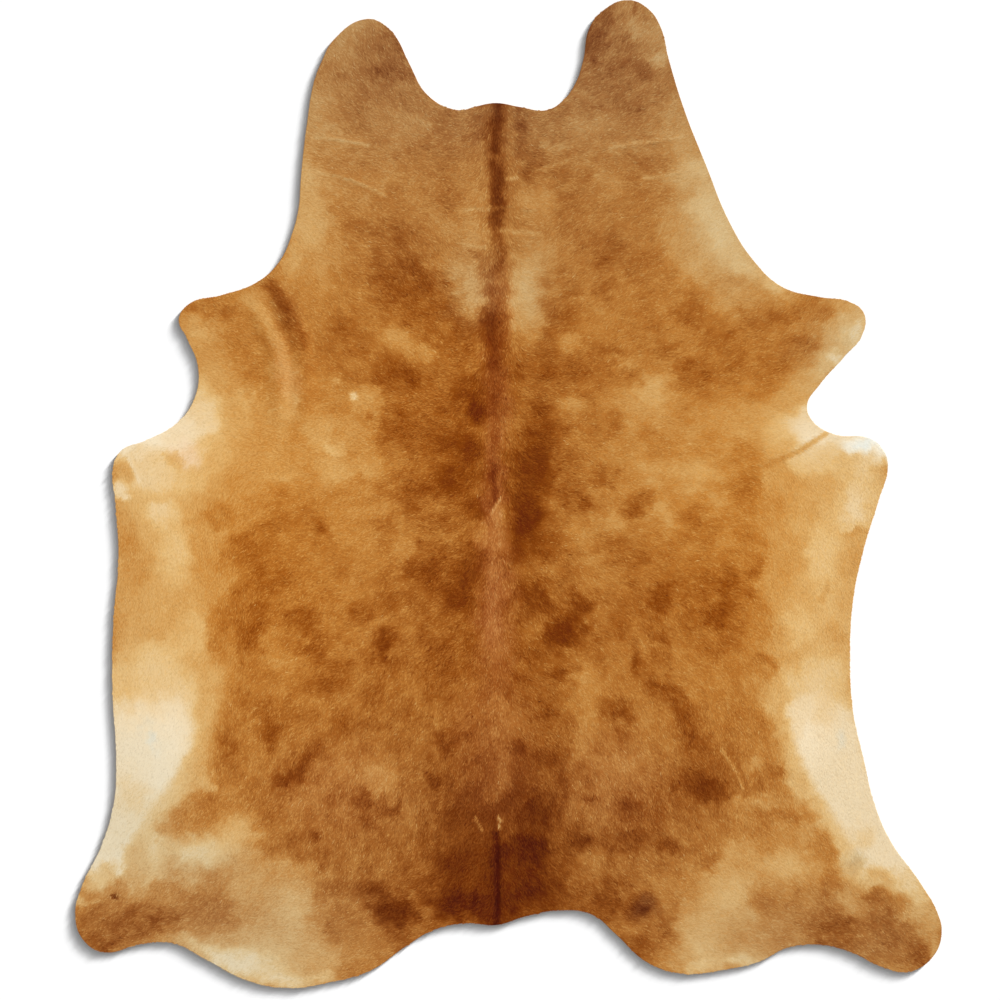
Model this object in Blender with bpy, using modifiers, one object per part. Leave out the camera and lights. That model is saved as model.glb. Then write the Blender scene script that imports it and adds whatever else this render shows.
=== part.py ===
"""A whole tanned cattle hide with its hair on, laid flat with the hair side up.

It is one skin, so it is one solid: a sheet of even thickness, cut to the animal's outline, with the few soft
folds that such a hide keeps when it is spread on a floor. Metres, +Z up. The neck points along +Y, and the
origin is under the middle of the hide, on the surface that it lies on.
"""

import math

import bmesh
import bpy
from mathutils import Vector
from mathutils.geometry import delaunay_2d_cdt, intersect_point_line
from mathutils.kdtree import KDTree

# Driving dimensions, in metres
LENGTH = 2.200  # along the spine, from the neck lobes to the hind legs
WIDTH = 1.930  # across the hind legs
SKIN = 0.0022  # tanned skin
HAIR = 0.0018  # short coat, lying flat on the skin
THICKNESS = SKIN + HAIR

# How finely the sheet is divided, in metres
RIM_STEP = 0.016  # between points along the cut edge
LATTICE = 0.052  # between points inside the sheet
LATTICE_CLEAR = 0.6 * LATTICE  # from a lattice point to the cut edge or a fold
FOLD_STEP = 0.022  # between points along a fold
FOLD_CLEAR = 0.005  # between any two points of the folds, and from them to the cut edge
FOLD_ROWS = (-1.0, -0.8, -0.55, -0.3, 0.0, 0.3, 0.55, 0.8, 1.0)  # across a fold, in shares of its reach
TROUGH_ROWS = (-1.0, -0.5, 0.5, 1.0)  # across its trough, in shares of the trough's reach
CURVE_STEPS = 12  # straight steps between two places of a curve
END_TAPER = 0.6  # how bluntly a fold dies out at its ends: lower is blunter
SHARP_ANGLE = math.radians(50)
MERGE = 1e-6
MM = 0.001

# The cut edge, clockwise from the left neck lobe, in millimetres across and along the hide
OUTLINE = (
    ("left neck lobe", ((-313, 1058), (-270, 1040), (-248, 1015), (-222, 962), (-177, 886), (-110, 855))),
    ("neck edge", ((-70, 864), (-28, 871), (26, 862), (84, 855), (122, 877), (149, 915), (166, 966))),
    ("right neck lobe", ((180, 1038), (212, 1078), (266, 1100), (311, 1080), (338, 1040), (356, 969))),
    ("right neck", ((391, 855), (440, 730), (489, 610), (544, 521), (609, 461))),
    ("right shoulder", ((691, 439), (758, 428))),
    ("right foreleg", ((790, 403), (786, 354), (747, 307), (687, 238))),
    ("right armpit", ((664, 200), (674, 165), (725, 133))),
    ("right flank corner", ((800, 125), (829, 104), (843, 67))),
    ("right flank", ((823, -13), (790, -120), (766, -236), (759, -358), (766, -485),
                     (790, -592), (813, -688))),
    ("right thigh", ((848, -770), (917, -868))),
    ("right hind leg", ((954, -933), (963, -975), (944, -1029), (890, -1063), (827, -1051), (763, -1020))),
    ("right rump", ((694, -1003), (622, -1009), (556, -1041), (482, -1058), (386, -1067), (308, -1042))),
    ("right of the tail", ((239, -980), (186, -936), (119, -926))),
    ("tail", ((37, -940), (-26, -959), (-95, -955), (-168, -971), (-230, -1008), (-306, -1060))),
    ("left rump", ((-386, -1084), (-487, -1099), (-582, -1082), (-674, -1035), (-747, -999))),
    ("left hind leg", ((-821, -1002), (-896, -1020), (-943, -995), (-963, -937), (-946, -868))),
    ("left thigh", ((-920, -815), (-902, -776), (-876, -681))),
    ("left flank", ((-872, -581), (-880, -436), (-878, -281), (-867, -147), (-874, -13), (-880, 49))),
    ("left flank corner", ((-863, 95), (-805, 120))),
    ("left armpit", ((-735, 160), (-697, 216), (-690, 283), (-717, 352))),
    ("left foreleg", ((-733, 387), (-711, 423), (-638, 443))),
    ("left shoulder", ((-559, 472), (-509, 518), (-482, 577), (-466, 640), (-462, 699))),
    ("left neck", ((-448, 824), (-431, 922), (-413, 968), (-389, 1011))),
)

# The folds that the sheet keeps, in millimetres: how far each reaches to either side of its line, how high
# its round back would stand off the floor, how far the trough along its middle reaches to either side (0
# leaves a plain ridge), the share of the height that the trough takes away, and the fold's own line.
FOLDS = (
    ("left shoulder fold", 62, 12.0, 34, 0.93,
     ((-549, 454), (-520, 392), (-491, 332), (-484, 254), (-484, 143))),
    ("right armpit crease", 30, 3.5, 9, 0.8, ((705, 134), (617, 82), (542, 46), (473, 22))),
    ("tail seam", 24, 3.0, 8, 0.85, ((-23, -743), (-23, -800), (-22, -870), (-20, -925))),
    ("left neck wrinkle", 14, 1.5, 0, 0.0, ((-404, 714), (-364, 706), (-316, 686), (-279, 670))),
    ("left neck, upper wrinkle", 14, 1.5, 0, 0.0, ((-426, 795), (-364, 786), (-313, 777))),
    ("neck wrinkle", 14, 1.5, 0, 0.0, ((-92, 637), (-10, 640), (70, 632))),
    ("right neck wrinkle", 14, 1.5, 0, 0.0, ((204, 766), (315, 779), (405, 797))),
    ("right neck, lower wrinkle", 14, 1.2, 0, 0.0, ((320, 700), (370, 712), (410, 722))),
)


def clear_scene():
    for found in list(bpy.data.objects):
        bpy.data.objects.remove(found, do_unlink=True)


def collection_named(name):
    collection = bpy.data.collections.new(name)
    bpy.context.scene.collection.children.link(collection)
    return collection


def hair_material():
    material = bpy.data.materials.new("hair_coat")
    material.use_nodes = True
    shader = material.node_tree.nodes["Principled BSDF"]
    shader.inputs["Base Color"].default_value = (0.45, 0.19, 0.045, 1.0)
    shader.inputs["Roughness"].default_value = 0.7
    shader.inputs["Metallic"].default_value = 0.0
    return material


def traced(places, closed):
    """Points in metres along the smooth curve through the places, which are in millimetres."""
    curve = bpy.data.curves.new("guide", "CURVE")
    curve.dimensions = "2D"
    curve.fill_mode = "NONE"
    curve.resolution_u = CURVE_STEPS
    spline = curve.splines.new("BEZIER")
    spline.bezier_points.add(len(places) - 1)
    spline.use_cyclic_u = closed
    for knot, (across, along) in zip(spline.bezier_points, places):
        knot.co = (across * MM, along * MM, 0.0)
        knot.handle_left_type = "AUTO"
        knot.handle_right_type = "AUTO"
    guide = bpy.data.objects.new("guide", curve)
    bpy.context.scene.collection.objects.link(guide)
    line = bpy.data.meshes.new_from_object(guide.evaluated_get(bpy.context.evaluated_depsgraph_get()))
    points = [vertex.co.to_2d() for vertex in line.vertices]
    bpy.data.objects.remove(guide)
    bpy.data.curves.remove(curve)
    bpy.data.meshes.remove(line)
    return points


def evenly_spaced(line, step, closed=False):
    """Points along a line, as near to that step apart as divides it evenly."""
    ends = line + line[:1] if closed else line
    reached = [0.0]
    for start, end in zip(ends, ends[1:]):
        reached.append(reached[-1] + (end - start).length)
    count = max(1, round(reached[-1] / step))
    points = []
    segment = 0
    for i in range(count if closed else count + 1):
        wanted = reached[-1] * i / count
        while segment < len(ends) - 2 and reached[segment + 1] < wanted:
            segment += 1
        run = reached[segment + 1] - reached[segment]
        points.append(ends[segment].lerp(ends[segment + 1], (wanted - reached[segment]) / run))
    return points


def rim_points():
    """The cut edge, stretched about its middle to the hide's real width and length."""
    places = [place for _, section in OUTLINE for place in section]
    points = evenly_spaced(traced(places, closed=True), RIM_STEP, closed=True)
    low = Vector((min(p.x for p in points), min(p.y for p in points)))
    high = Vector((max(p.x for p in points), max(p.y for p in points)))
    middle = (low + high) / 2
    size = high - low
    return [Vector(((p.x - middle.x) * WIDTH / size.x, (p.y - middle.y) * LENGTH / size.y)) for p in points]


def swell(share):
    """A soft round back: 1 in the middle, 0 from one reach away."""
    return 0.5 + 0.5 * math.cos(math.pi * share) if share < 1.0 else 0.0


def nearest(point, line):
    """How far a point lies from a line, and how far along the line that is, as a share of its points."""
    best = (math.inf, 0.0)
    for i, (start, end) in enumerate(zip(line, line[1:])):
        _, share = intersect_point_line(point, start, end)
        share = max(0.0, min(1.0, share))
        away = (point - start.lerp(end, share)).length
        if away < best[0]:
            best = (away, (i + share) / (len(line) - 1))
    return best


def fold_height(point, fold, line):
    _, reach, height, trough, depth, _ = fold
    away, along = nearest(point, line)
    if away >= reach * MM:
        return 0.0
    shape = swell(away / (reach * MM))
    if trough:
        shape -= depth * swell(away / (trough * MM))
    return height * MM * shape * max(0.0, math.sin(math.pi * along)) ** END_TAPER


def fold_points(fold, line):
    """Rows of points along a fold, close enough together across it to carry its round back."""
    _, reach, _, trough, _, _ = fold
    offsets = [row * reach * MM for row in FOLD_ROWS]
    if trough:
        offsets += [row * trough * MM for row in TROUGH_ROWS]
    points = []
    for i, centre in enumerate(line):
        run = line[min(i + 1, len(line) - 1)] - line[max(i - 1, 0)]
        side = Vector((-run.y, run.x)).normalized()
        points.extend(centre + side * offset for offset in offsets)
    return points


def tree_of(points):
    tree = KDTree(len(points))
    for i, point in enumerate(points):
        tree.insert(point.to_3d(), i)
    tree.balance()
    return tree


def sheet_points(rim, lines):
    """The points that fill the sheet: the cut edge, the folds' rows and a lattice between them."""
    near_rim = tree_of(rim)
    folded = []
    for fold, line in zip(FOLDS, lines):
        for point in fold_points(fold, line):
            crowded = any((point - other).length < FOLD_CLEAR for other in folded)
            if not crowded and near_rim.find(point.to_3d())[2] > FOLD_CLEAR:
                folded.append(point)
    near_either = tree_of(rim + folded)
    rows = round(LENGTH / (LATTICE * math.sqrt(0.75)))
    columns = round(WIDTH / LATTICE)
    lattice = []
    for row in range(rows + 1):
        for column in range(columns + 1):
            shift = 0.5 * (row % 2)
            point = Vector((WIDTH * ((column + shift) / columns - 0.5), LENGTH * (row / rows - 0.5)))
            if near_either.find(point.to_3d())[2] > LATTICE_CLEAR:
                lattice.append(point)
    return rim + folded + lattice


def underside_mesh():
    """The underside of the hide: the outline filled with even triangles and raised along its folds."""
    rim = rim_points()
    lines = [evenly_spaced(traced(fold[-1], closed=False), FOLD_STEP) for fold in FOLDS]
    around = [(i, (i + 1) % len(rim)) for i in range(len(rim))]
    places, _, triangles, _, _, _ = delaunay_2d_cdt(sheet_points(rim, lines), around, [], 1, MERGE)
    cloth = bmesh.new()
    corners = []
    for place in places:
        height = max(fold_height(place, fold, line) for fold, line in zip(FOLDS, lines))
        corners.append(cloth.verts.new((place.x, place.y, height)))
    for triangle in triangles:
        cloth.faces.new([corners[i] for i in triangle])
    outside = [vertex for vertex in cloth.verts if not vertex.link_faces]
    bmesh.ops.delete(cloth, geom=outside, context="VERTS")
    bmesh.ops.recalc_face_normals(cloth, faces=cloth.faces)
    if sum(face.normal.z for face in cloth.faces) < 0:
        bmesh.ops.reverse_faces(cloth, faces=cloth.faces)
    mesh = bpy.data.meshes.new("hide")
    cloth.to_mesh(mesh)
    cloth.free()
    return mesh


def build_hide(collection):
    """The sheet: its underside, thickened upwards by the skin and the coat."""
    hide = bpy.data.objects.new("hide", underside_mesh())
    collection.objects.link(hide)
    hide.data.materials.append(hair_material())
    hide.data.shade_smooth()
    hide.data.set_sharp_from_angle(angle=SHARP_ANGLE)
    body = hide.modifiers.new("skin_and_hair", "SOLIDIFY")
    body.thickness = THICKNESS
    body.offset = 1.0
    body.use_even_offset = True
    return hide


def main():
    clear_scene()
    build_hide(collection_named("leather_hide"))


main()
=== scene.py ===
# %% [markdown]
# # A hair-on cattle hide
#
# This is a whole tanned hide laid flat, hair side up: neck and cheeks at the top, forelegs at the
# shoulders, belly at both sides, hind legs and rump at the bottom. It is one sheet, with no seam,
# lining or binding. The lesson dresses it in three things that a tanner would name: the skin, whose
# suede side lies on the floor, the hair mass that grows out of it, and the locks of hair on top.

# %% Load the frame
import math

import bmesh
import bpy
import numpy as np
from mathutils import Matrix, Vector
from mathutils.bvhtree import BVHTree
from mathutils.geometry import delaunay_2d_cdt
from mathutils.kdtree import KDTree


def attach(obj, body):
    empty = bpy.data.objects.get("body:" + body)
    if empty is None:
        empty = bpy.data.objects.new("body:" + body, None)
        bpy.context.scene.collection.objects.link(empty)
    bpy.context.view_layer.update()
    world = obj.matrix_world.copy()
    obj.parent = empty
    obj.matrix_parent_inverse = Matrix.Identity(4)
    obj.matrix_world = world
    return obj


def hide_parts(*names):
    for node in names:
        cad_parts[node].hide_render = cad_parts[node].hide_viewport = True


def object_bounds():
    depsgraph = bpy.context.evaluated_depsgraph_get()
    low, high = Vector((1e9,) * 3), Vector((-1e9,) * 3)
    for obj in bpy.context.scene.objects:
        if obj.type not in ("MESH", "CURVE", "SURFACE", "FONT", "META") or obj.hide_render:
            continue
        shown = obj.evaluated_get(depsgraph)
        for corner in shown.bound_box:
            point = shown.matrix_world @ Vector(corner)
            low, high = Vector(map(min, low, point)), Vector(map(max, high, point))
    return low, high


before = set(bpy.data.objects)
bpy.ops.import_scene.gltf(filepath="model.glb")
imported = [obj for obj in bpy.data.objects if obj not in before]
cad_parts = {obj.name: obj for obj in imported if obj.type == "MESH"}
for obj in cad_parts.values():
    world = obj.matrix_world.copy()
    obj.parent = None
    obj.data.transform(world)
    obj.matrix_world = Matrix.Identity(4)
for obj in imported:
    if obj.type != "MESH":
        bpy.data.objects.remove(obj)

cad_low, cad_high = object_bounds()
print("CAD box:", [round(v, 4) for v in (*cad_low, *cad_high)])

# %% [markdown]
# ## What the hide is made of
#
# A shoe-leather side is thick and bare. A rug hide is thinner and keeps its hair: about 2 mm of
# skin with short, flat-lying hair that adds nearly as much again. All lengths are in metres, and
# tables that place things are in centimetres from the middle of the hide, with x to the right, y
# towards the head.

# %% Sizes
CM = 0.01
MM = 0.001
SKIN = 2.2 * MM
HAIR = 1.8 * MM
SHEET = SKIN + HAIR
FLAT_SIZE = (cad_high.x - cad_low.x, cad_high.y - cad_low.y)
print("cut from", round(FLAT_SIZE[0], 3), "x", round(FLAT_SIZE[1], 3), "m")

# %% [markdown]
# ## The camera
#
# The hide is seen from straight above, as a seller lays it out. The lens is a long one, so that the
# sheet is shown without bending. The camera comes first because it fixes how large the smallest
# visible hair is: here a little over 2 mm.

# %% Camera
VIEW_WIDTH = 2.2267
LENS = 85.0
SENSOR = 36.0
VIEW_CENTRE = (-0.0189, -0.0134)

camera_data = bpy.data.cameras.new("camera")
camera_data.lens = LENS
camera_data.sensor_width = SENSOR
camera_data.clip_end = 100.0
camera = bpy.data.objects.new("camera", camera_data)
camera.location = (*VIEW_CENTRE, VIEW_WIDTH * LENS / SENSOR + SHEET)
bpy.context.scene.collection.objects.link(camera)
bpy.context.scene.camera = camera
print("camera", round(camera.location.z, 3), "m above the floor")

# %% [markdown]
# ## Surveying the sheet
#
# The frame holds the hide as one thin solid with its folds. Everything else lies on it, so the
# solid is surveyed once: its cut edge as a closed line, and on a fine grid both how far the sheet
# is lifted off the floor and how far each place is from the edge. Rays down onto the solid give
# the lift. A nearest-point search over the edge gives the margin. Two grids of numbers are far
# quicker to ask than the solid itself, and hundreds of thousands of locks have to ask.

# %% Edge helpers
RIM_PARTS = 3  # parts that each step of the edge is divided into
SAME_PLACE = 1e-5
FACES_DOWN = -0.5


def cut_edge(solid):
    """The edge of the underside, in order round the hide, as x, y points."""
    mesh = bmesh.new()
    mesh.from_mesh(solid.data)
    bmesh.ops.remove_doubles(mesh, verts=mesh.verts, dist=SAME_PLACE)
    mesh.normal_update()
    upper = [face for face in mesh.faces if face.normal.z > FACES_DOWN]
    bmesh.ops.delete(mesh, geom=upper, context="FACES")
    follows = {}
    for edge in mesh.edges:
        if edge.is_boundary:
            loop = edge.link_loops[0]
            follows[loop.vert.index] = loop.link_loop_next.vert
    mesh.verts.ensure_lookup_table()
    start = here = next(iter(follows))
    line = []
    while True:
        line.append(mesh.verts[here].co.xy[:])
        here = follows[here].index
        if here == start:
            break
    mesh.free()
    return np.array(line)[::-1]


def smoother(line, parts):
    """A closed line with more points, on a curve through the points it has."""
    before, after = np.roll(line, 1, 0), np.roll(line, -1, 0)
    beyond = np.roll(line, -2, 0)
    rows = []
    for part in range(parts):
        t = part / parts
        rows.append(0.5 * (2 * line + (after - before) * t
                           + (2 * before - 5 * line + 4 * after - beyond) * t ** 2
                           + (3 * line - before - 3 * after + beyond) * t ** 3))
    return np.stack(rows, 1).reshape(-1, 2)


print("edge helpers ready")

# %% The cut edge
hide_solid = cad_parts["hide"]
rim = smoother(cut_edge(hide_solid), RIM_PARTS)
ahead = np.roll(rim, -1, 0) - np.roll(rim, 1, 0)
ahead /= np.linalg.norm(ahead, axis=1)[:, None]
inward = np.stack((-ahead[:, 1], ahead[:, 0]), 1)
turned = rim[:, 0] * np.roll(rim[:, 1], -1) - np.roll(rim[:, 0], -1) * rim[:, 1]
if turned.sum() < 0:
    inward = -inward

# %% The grids
STEP = 5 * MM
GRID_MARGIN = 0.03
GRID_LOW = np.array((cad_low.x - GRID_MARGIN, cad_low.y - GRID_MARGIN))
GRID_X = np.arange(GRID_LOW[0], cad_high.x + GRID_MARGIN, STEP)
GRID_Y = np.arange(GRID_LOW[1], cad_high.y + GRID_MARGIN, STEP)


def survey_lift(solid):
    """How far the underside is off the floor at each place of the grid."""
    tree = BVHTree.FromPolygons([v.co for v in solid.data.vertices],
                                [p.vertices for p in solid.data.polygons])
    lift = np.zeros((len(GRID_Y), len(GRID_X)))
    down = Vector((0, 0, -1))
    for row, y in enumerate(GRID_Y):
        for column, x in enumerate(GRID_X):
            hit = tree.ray_cast(Vector((x, y, 1.0)), down)[0]
            if hit:
                lift[row, column] = hit.z - SHEET
    return lift


def survey_margin():
    """The distance to the cut edge: above 0 on the hide, and below 0 off it."""
    tree = KDTree(len(rim))
    for index, (x, y) in enumerate(rim):
        tree.insert((x, y, 0), index)
    tree.balance()
    margin = np.zeros((len(GRID_Y), len(GRID_X)))
    for row, y in enumerate(GRID_Y):
        for column, x in enumerate(GRID_X):
            _, index, _ = tree.find((x, y, 0))
            away = np.array((x, y)) - rim[index]
            off = away @ inward[index]
            along = away @ np.array((inward[index][1], -inward[index][0]))
            if abs(along) >= STEP:
                off = math.copysign(math.hypot(*away), off)
            margin[row, column] = off
    return margin


print("grids of", len(GRID_X), "x", len(GRID_Y), "places")

# %% Lift and margin
LIFT_BLUR = 1.3  # in steps of the grid


def blurred(grid, reach):
    """A grid of numbers smoothed by a bell curve, so that the solid's flat faces don't show."""
    span = int(3 * reach + 1)
    bell = np.exp(-0.5 * (np.arange(-span, span + 1) / reach) ** 2)
    bell /= bell.sum()
    for axis in (0, 1):
        padded = np.pad(grid, [(span, span) if a == axis else (0, 0) for a in (0, 1)], mode="edge")
        grid = np.apply_along_axis(lambda line: np.convolve(line, bell, mode="valid"), axis, padded)
    return grid


def look_up(grid, x, y, low=GRID_LOW, step=STEP):
    """Numbers of a grid at any places, straight between its points."""
    column = np.clip((x - low[0]) / step, 0, grid.shape[1] - 1.001)
    row = np.clip((y - low[1]) / step, 0, grid.shape[0] - 1.001)
    i, j = row.astype(int), column.astype(int)
    v, u = row - i, column - j
    return ((grid[i, j] * (1 - u) + grid[i, j + 1] * u) * (1 - v)
            + (grid[i + 1, j] * (1 - u) + grid[i + 1, j + 1] * u) * v)


lift_grid = blurred(survey_lift(hide_solid), LIFT_BLUR)
margin_grid = survey_margin()
print("highest fold", round(lift_grid.max() * 1000, 1), "mm;",
      "widest margin", round(margin_grid.max(), 2), "m")

# %% [markdown]
# ## Creases that the hand can feel
#
# A dried and oiled hide never lies quite flat. Besides the large shoulder fold in the solid, there
# are finer creases: the armpit's, the closed seam where the tail was, and old neck wrinkles that
# the hair still follows. They are low, so they could be left to a bump map, but then the light
# would not fall across them from the side. Each is a soft trough or ridge: its name, its half
# width and its height in millimetres, and the line it follows in centimetres.

# %% Crease table
CREASE_ENDS = (6, 0.15)  # how soon a crease is at its full depth, and its depth at its very ends
CREASES = (
    ("right armpit", 4.0, -1.3,
     ((70.5, 13.4), (64.5, 9.4), (61.7, 8.2), (57.6, 6.3), (54.2, 4.6), (50.9, 3.6))),
    ("tail seam", 4.5, -1.6, ((-2.5, -75.0), (-2.4, -82.0), (-2.2, -95.0))),
    ("left neck, low", 4.0, 0.9, ((-40.4, 71.4), (-36.4, 70.6), (-31.6, 68.6), (-27.9, 67.0))),
    ("left neck, high", 4.0, 0.8, ((-42.6, 79.5), (-36.4, 78.6), (-31.3, 77.7))),
    ("neck middle", 4.0, 0.7, ((-9.2, 63.7), (-1.0, 64.0), (7.0, 63.2))),
    ("neck, above it", 3.0, 0.5, ((-2.0, 57.3), (7.0, 57.3))),
    ("right neck, high", 4.0, 0.8, ((20.4, 76.6), (31.5, 77.9), (40.5, 79.7))),
    ("right neck, low", 3.5, 0.7, ((32.0, 70.0), (37.0, 71.2), (41.0, 72.2))),
    ("scar", 3.0, 0.9, ((47.5, -57.0), (49.5, -60.2), (51.0, -63.0), (52.2, -66.5))),
    ("rump nick, left", 2.5, 0.8, ((-7.2, -72.4), (-6.0, -74.4))),
    ("rump nick, right", 2.5, 0.8, ((-1.8, -71.8), (-1.6, -73.5), (-2.0, -74.6))),
    ("thigh nick", 2.5, 0.8, ((-21.0, -88.6), (-22.0, -89.9))),
)


def line_distance(x, y, line):
    """How far places are from a line of points, and how far along it, from 0 to 1."""
    points = np.array(line, float)
    lengths = np.linalg.norm(np.diff(points, axis=0), axis=1)
    best = np.full(np.shape(x), np.inf)
    along = np.zeros(np.shape(x))
    run = 0.0
    for start, end, length in zip(points[:-1], points[1:], lengths):
        share = (x - start[0]) * (end[0] - start[0]) + (y - start[1]) * (end[1] - start[1])
        share = np.clip(share / length ** 2, 0, 1)
        away = np.hypot(x - start[0] - share * (end[0] - start[0]),
                        y - start[1] - share * (end[1] - start[1]))
        nearer = away < best
        best = np.where(nearer, away, best)
        along = np.where(nearer, (run + share * length) / lengths.sum(), along)
        run += length
    return best, along


def crease_height(x, y):
    """What the creases add to the hair side at places in metres."""
    height = np.zeros(np.shape(x))
    for _, half_width, rise, line in CREASES:
        points = np.array(line)
        reach = half_width * MM * 3
        low, high = points.min(0) * CM - reach, points.max(0) * CM + reach
        near = (x > low[0]) & (x < high[0]) & (y > low[1]) & (y < high[1])
        if near.any():
            away, along = line_distance(x[near] / CM, y[near] / CM, line)
            fade = np.clip(np.minimum(along, 1 - along) * CREASE_ENDS[0], CREASE_ENDS[1], 1)
            height[near] += rise * MM * fade * np.exp(-(away * CM / (half_width * MM)) ** 2)
    return height


print(len(CREASES), "creases by hand")

# %% [markdown]
# ## Clouds
#
# A hide's markings are uneven at every size: broad shade from belly to back, brindle clouds as
# large as a hand, and mottling as small as a fingertip. One helper makes all of them. It fills a
# square lattice with random numbers, joins them smoothly and adds finer copies of the same, which
# is the plain way that noise is made. The seed fixes what comes out, so every run is the same.

# %% Cloud helper
LATTICE = 256
SEED_STEP = 31
LATTICE_START = (97.3, 61.7)
FULL_SWING = 1.6  # brings the sum of the copies back to about -1 to 1


def clouds(x, y, size, seed, octaves=3, gain=0.5):
    """Smooth random numbers from about -1 to 1, whose largest lumps are size across."""
    total, weight = np.zeros(np.shape(x)), 0.0
    for octave in range(octaves):
        values = np.random.default_rng(seed * SEED_STEP + octave).uniform(-1, 1, (LATTICE, LATTICE))
        scale, share = 2 ** octave / size, gain ** octave
        u, v = x * scale + LATTICE_START[0], y * scale + LATTICE_START[1]
        i, j = np.floor(v).astype(int), np.floor(u).astype(int)
        v, u = v - i, u - j
        u, v = u * u * (3 - 2 * u), v * v * (3 - 2 * v)
        i, j = i % LATTICE, j % LATTICE
        i2, j2 = (i + 1) % LATTICE, (j + 1) % LATTICE
        total += share * ((values[i, j] * (1 - u) + values[i, j2] * u) * (1 - v)
                          + (values[i2, j] * (1 - u) + values[i2, j2] * u) * v)
        weight += share
    return total / weight * FULL_SWING


print("clouds ready")

# %% [markdown]
# ## The natural markings
#
# The coat is one colour family, from cream on the belly through gold and caramel to dark brown on
# the rump, so a single number, the tone, says where a place stands in it. A chart turns tone into
# colour. Two more numbers shift it a little: dust is greyer, as on the neck and the legs, and less
# than no dust is the warm gold of the flanks. Rose is the pinkish cast along the back.
#
# The tones are laid on as a painter would: the broad shades first, then the clouds, then the fine
# marks. Each cloud is a soft oval: its middle, its half width and half height, the tone it brings
# and, where it is turned, by how many degrees. The edges of all of them are pushed about by noise,
# which is what keeps an oval from looking like one.

# %% Tone chart
TONE_CHART = (
    (0, "white", (240, 233, 213)),
    (1, "cream", (229, 209, 172)),
    (2, "pale gold", (218, 182, 123)),
    (3, "gold tan", (203, 155, 91)),
    (4, "caramel", (187, 128, 62)),
    (5, "russet", (166, 103, 44)),
    (6, "brown", (142, 78, 27)),
    (7, "dark brown", (114, 54, 15)),
    (8, "seam", (83, 30, 4)),
    (9, "almost black", (48, 15, 2)),
)
DUST_SHIFT = (-13, 1, 17)
ROSE_SHIFT = (2, -3, 13)


def linear(colour):
    """Screen colours as amounts of light."""
    colour = np.asarray(colour, float) / 255
    return np.where(colour <= 0.04045, colour / 12.92, ((colour + 0.055) / 1.055) ** 2.4)


def coat_colour(tone, dust, rose):
    """The colour of hair, as screen numbers, for its tone and its two shifts."""
    steps = [row[0] for row in TONE_CHART]
    chart = np.array([row[2] for row in TONE_CHART], float)
    colour = np.stack([np.interp(tone, steps, chart[:, k]) for k in range(3)], -1)
    shifted = (colour + np.asarray(dust)[..., None] * np.array(DUST_SHIFT)
               + np.asarray(rose)[..., None] * np.array(ROSE_SHIFT))
    return np.clip(shifted, 2, 255)


print("tones:", ", ".join(row[1] for row in TONE_CHART))

# %% Broad shades
SHADES = (
    # name, x, y, half width, half height, tone, turn
    ("flanks and neck", 0, 0, 110, 130, 4.1),
    ("neck", 0, 88, 50, 30, 4.25),
    ("back", -1, -28, 34, 66, 4.7),
    ("back, along the spine", -2, -30, 17, 62, 5.3),
    ("withers", -12, 30, 24, 22, 4.9),
    ("left shoulder, low", -42, 13, 13, 11, 3.5),
    ("right shoulder, low", 38, 8, 16, 12, 3.7),
    ("left flank, inner", -66, -10, 9, 36, 3.2),
    ("left flank, outer", -79, -12, 12, 40, 2.5),
    ("right flank, inner", 62, -14, 8, 38, 3.2),
    ("right flank, outer", 74, -16, 9, 40, 2.3),
    ("left armpit", -62, 14, 17, 9, 2.9),
    ("right armpit", 58, 14, 16, 8, 3.2),
    ("left foreleg", -62, 32, 13, 12, 4.1),
    ("right foreleg", 60, 35, 15, 10, 4.5),
    ("right foreleg, tip", 76, 37, 7, 9, 3.0),
    ("left neck edge", -44, 66, 7, 20, 3.2, 4),
    ("right neck edge", 45, 62, 8, 20, 3.0, 22),
    ("rump", -2, -84, 18, 20, 6.5),
    ("left thigh", -44, -66, 20, 20, 4.8),
    ("right thigh", 42, -64, 17, 18, 4.8),
    ("left hock", -62, -90, 18, 18, 3.1),
    ("left thigh edge", -52, -104, 14, 7, 2.3),
    ("right hock", 52, -92, 15, 15, 3.0),
    ("left hind leg", -82, -94, 15, 6, 4.9, 3),
    ("right hind leg", 80, -97, 18, 6, 4.7, -14),
)
BANDS = (
    # name, half width, tone, points
    ("left belly", 10.8, 0.75, ((-80.4, -48), (-80.2, -52), (-81.6, -62), (-86, -71), (-88.6, -77))),
    ("right belly", 9.3, 0.9, ((71, -54), (71.8, -58), (74.5, -65), (79, -73), (83.5, -79))),
    ("left corner", 6.0, 0.8, ((-84, 12.5), (-76, 12), (-71, 12.5), (-70, 14))),
    ("right corner", 4.5, 1.3, ((84, 12), (75, 12), (69, 14), (68, 16))),
    ("left corner, under", 4.5, 1.9, ((-80, 5), (-72, 5), (-66, 9))),
    ("right corner, under", 3.5, 2.1, ((72, 8), (66, 7.5))),
)
print(len(SHADES), "shades and", len(BANDS), "pale bands")

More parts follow.
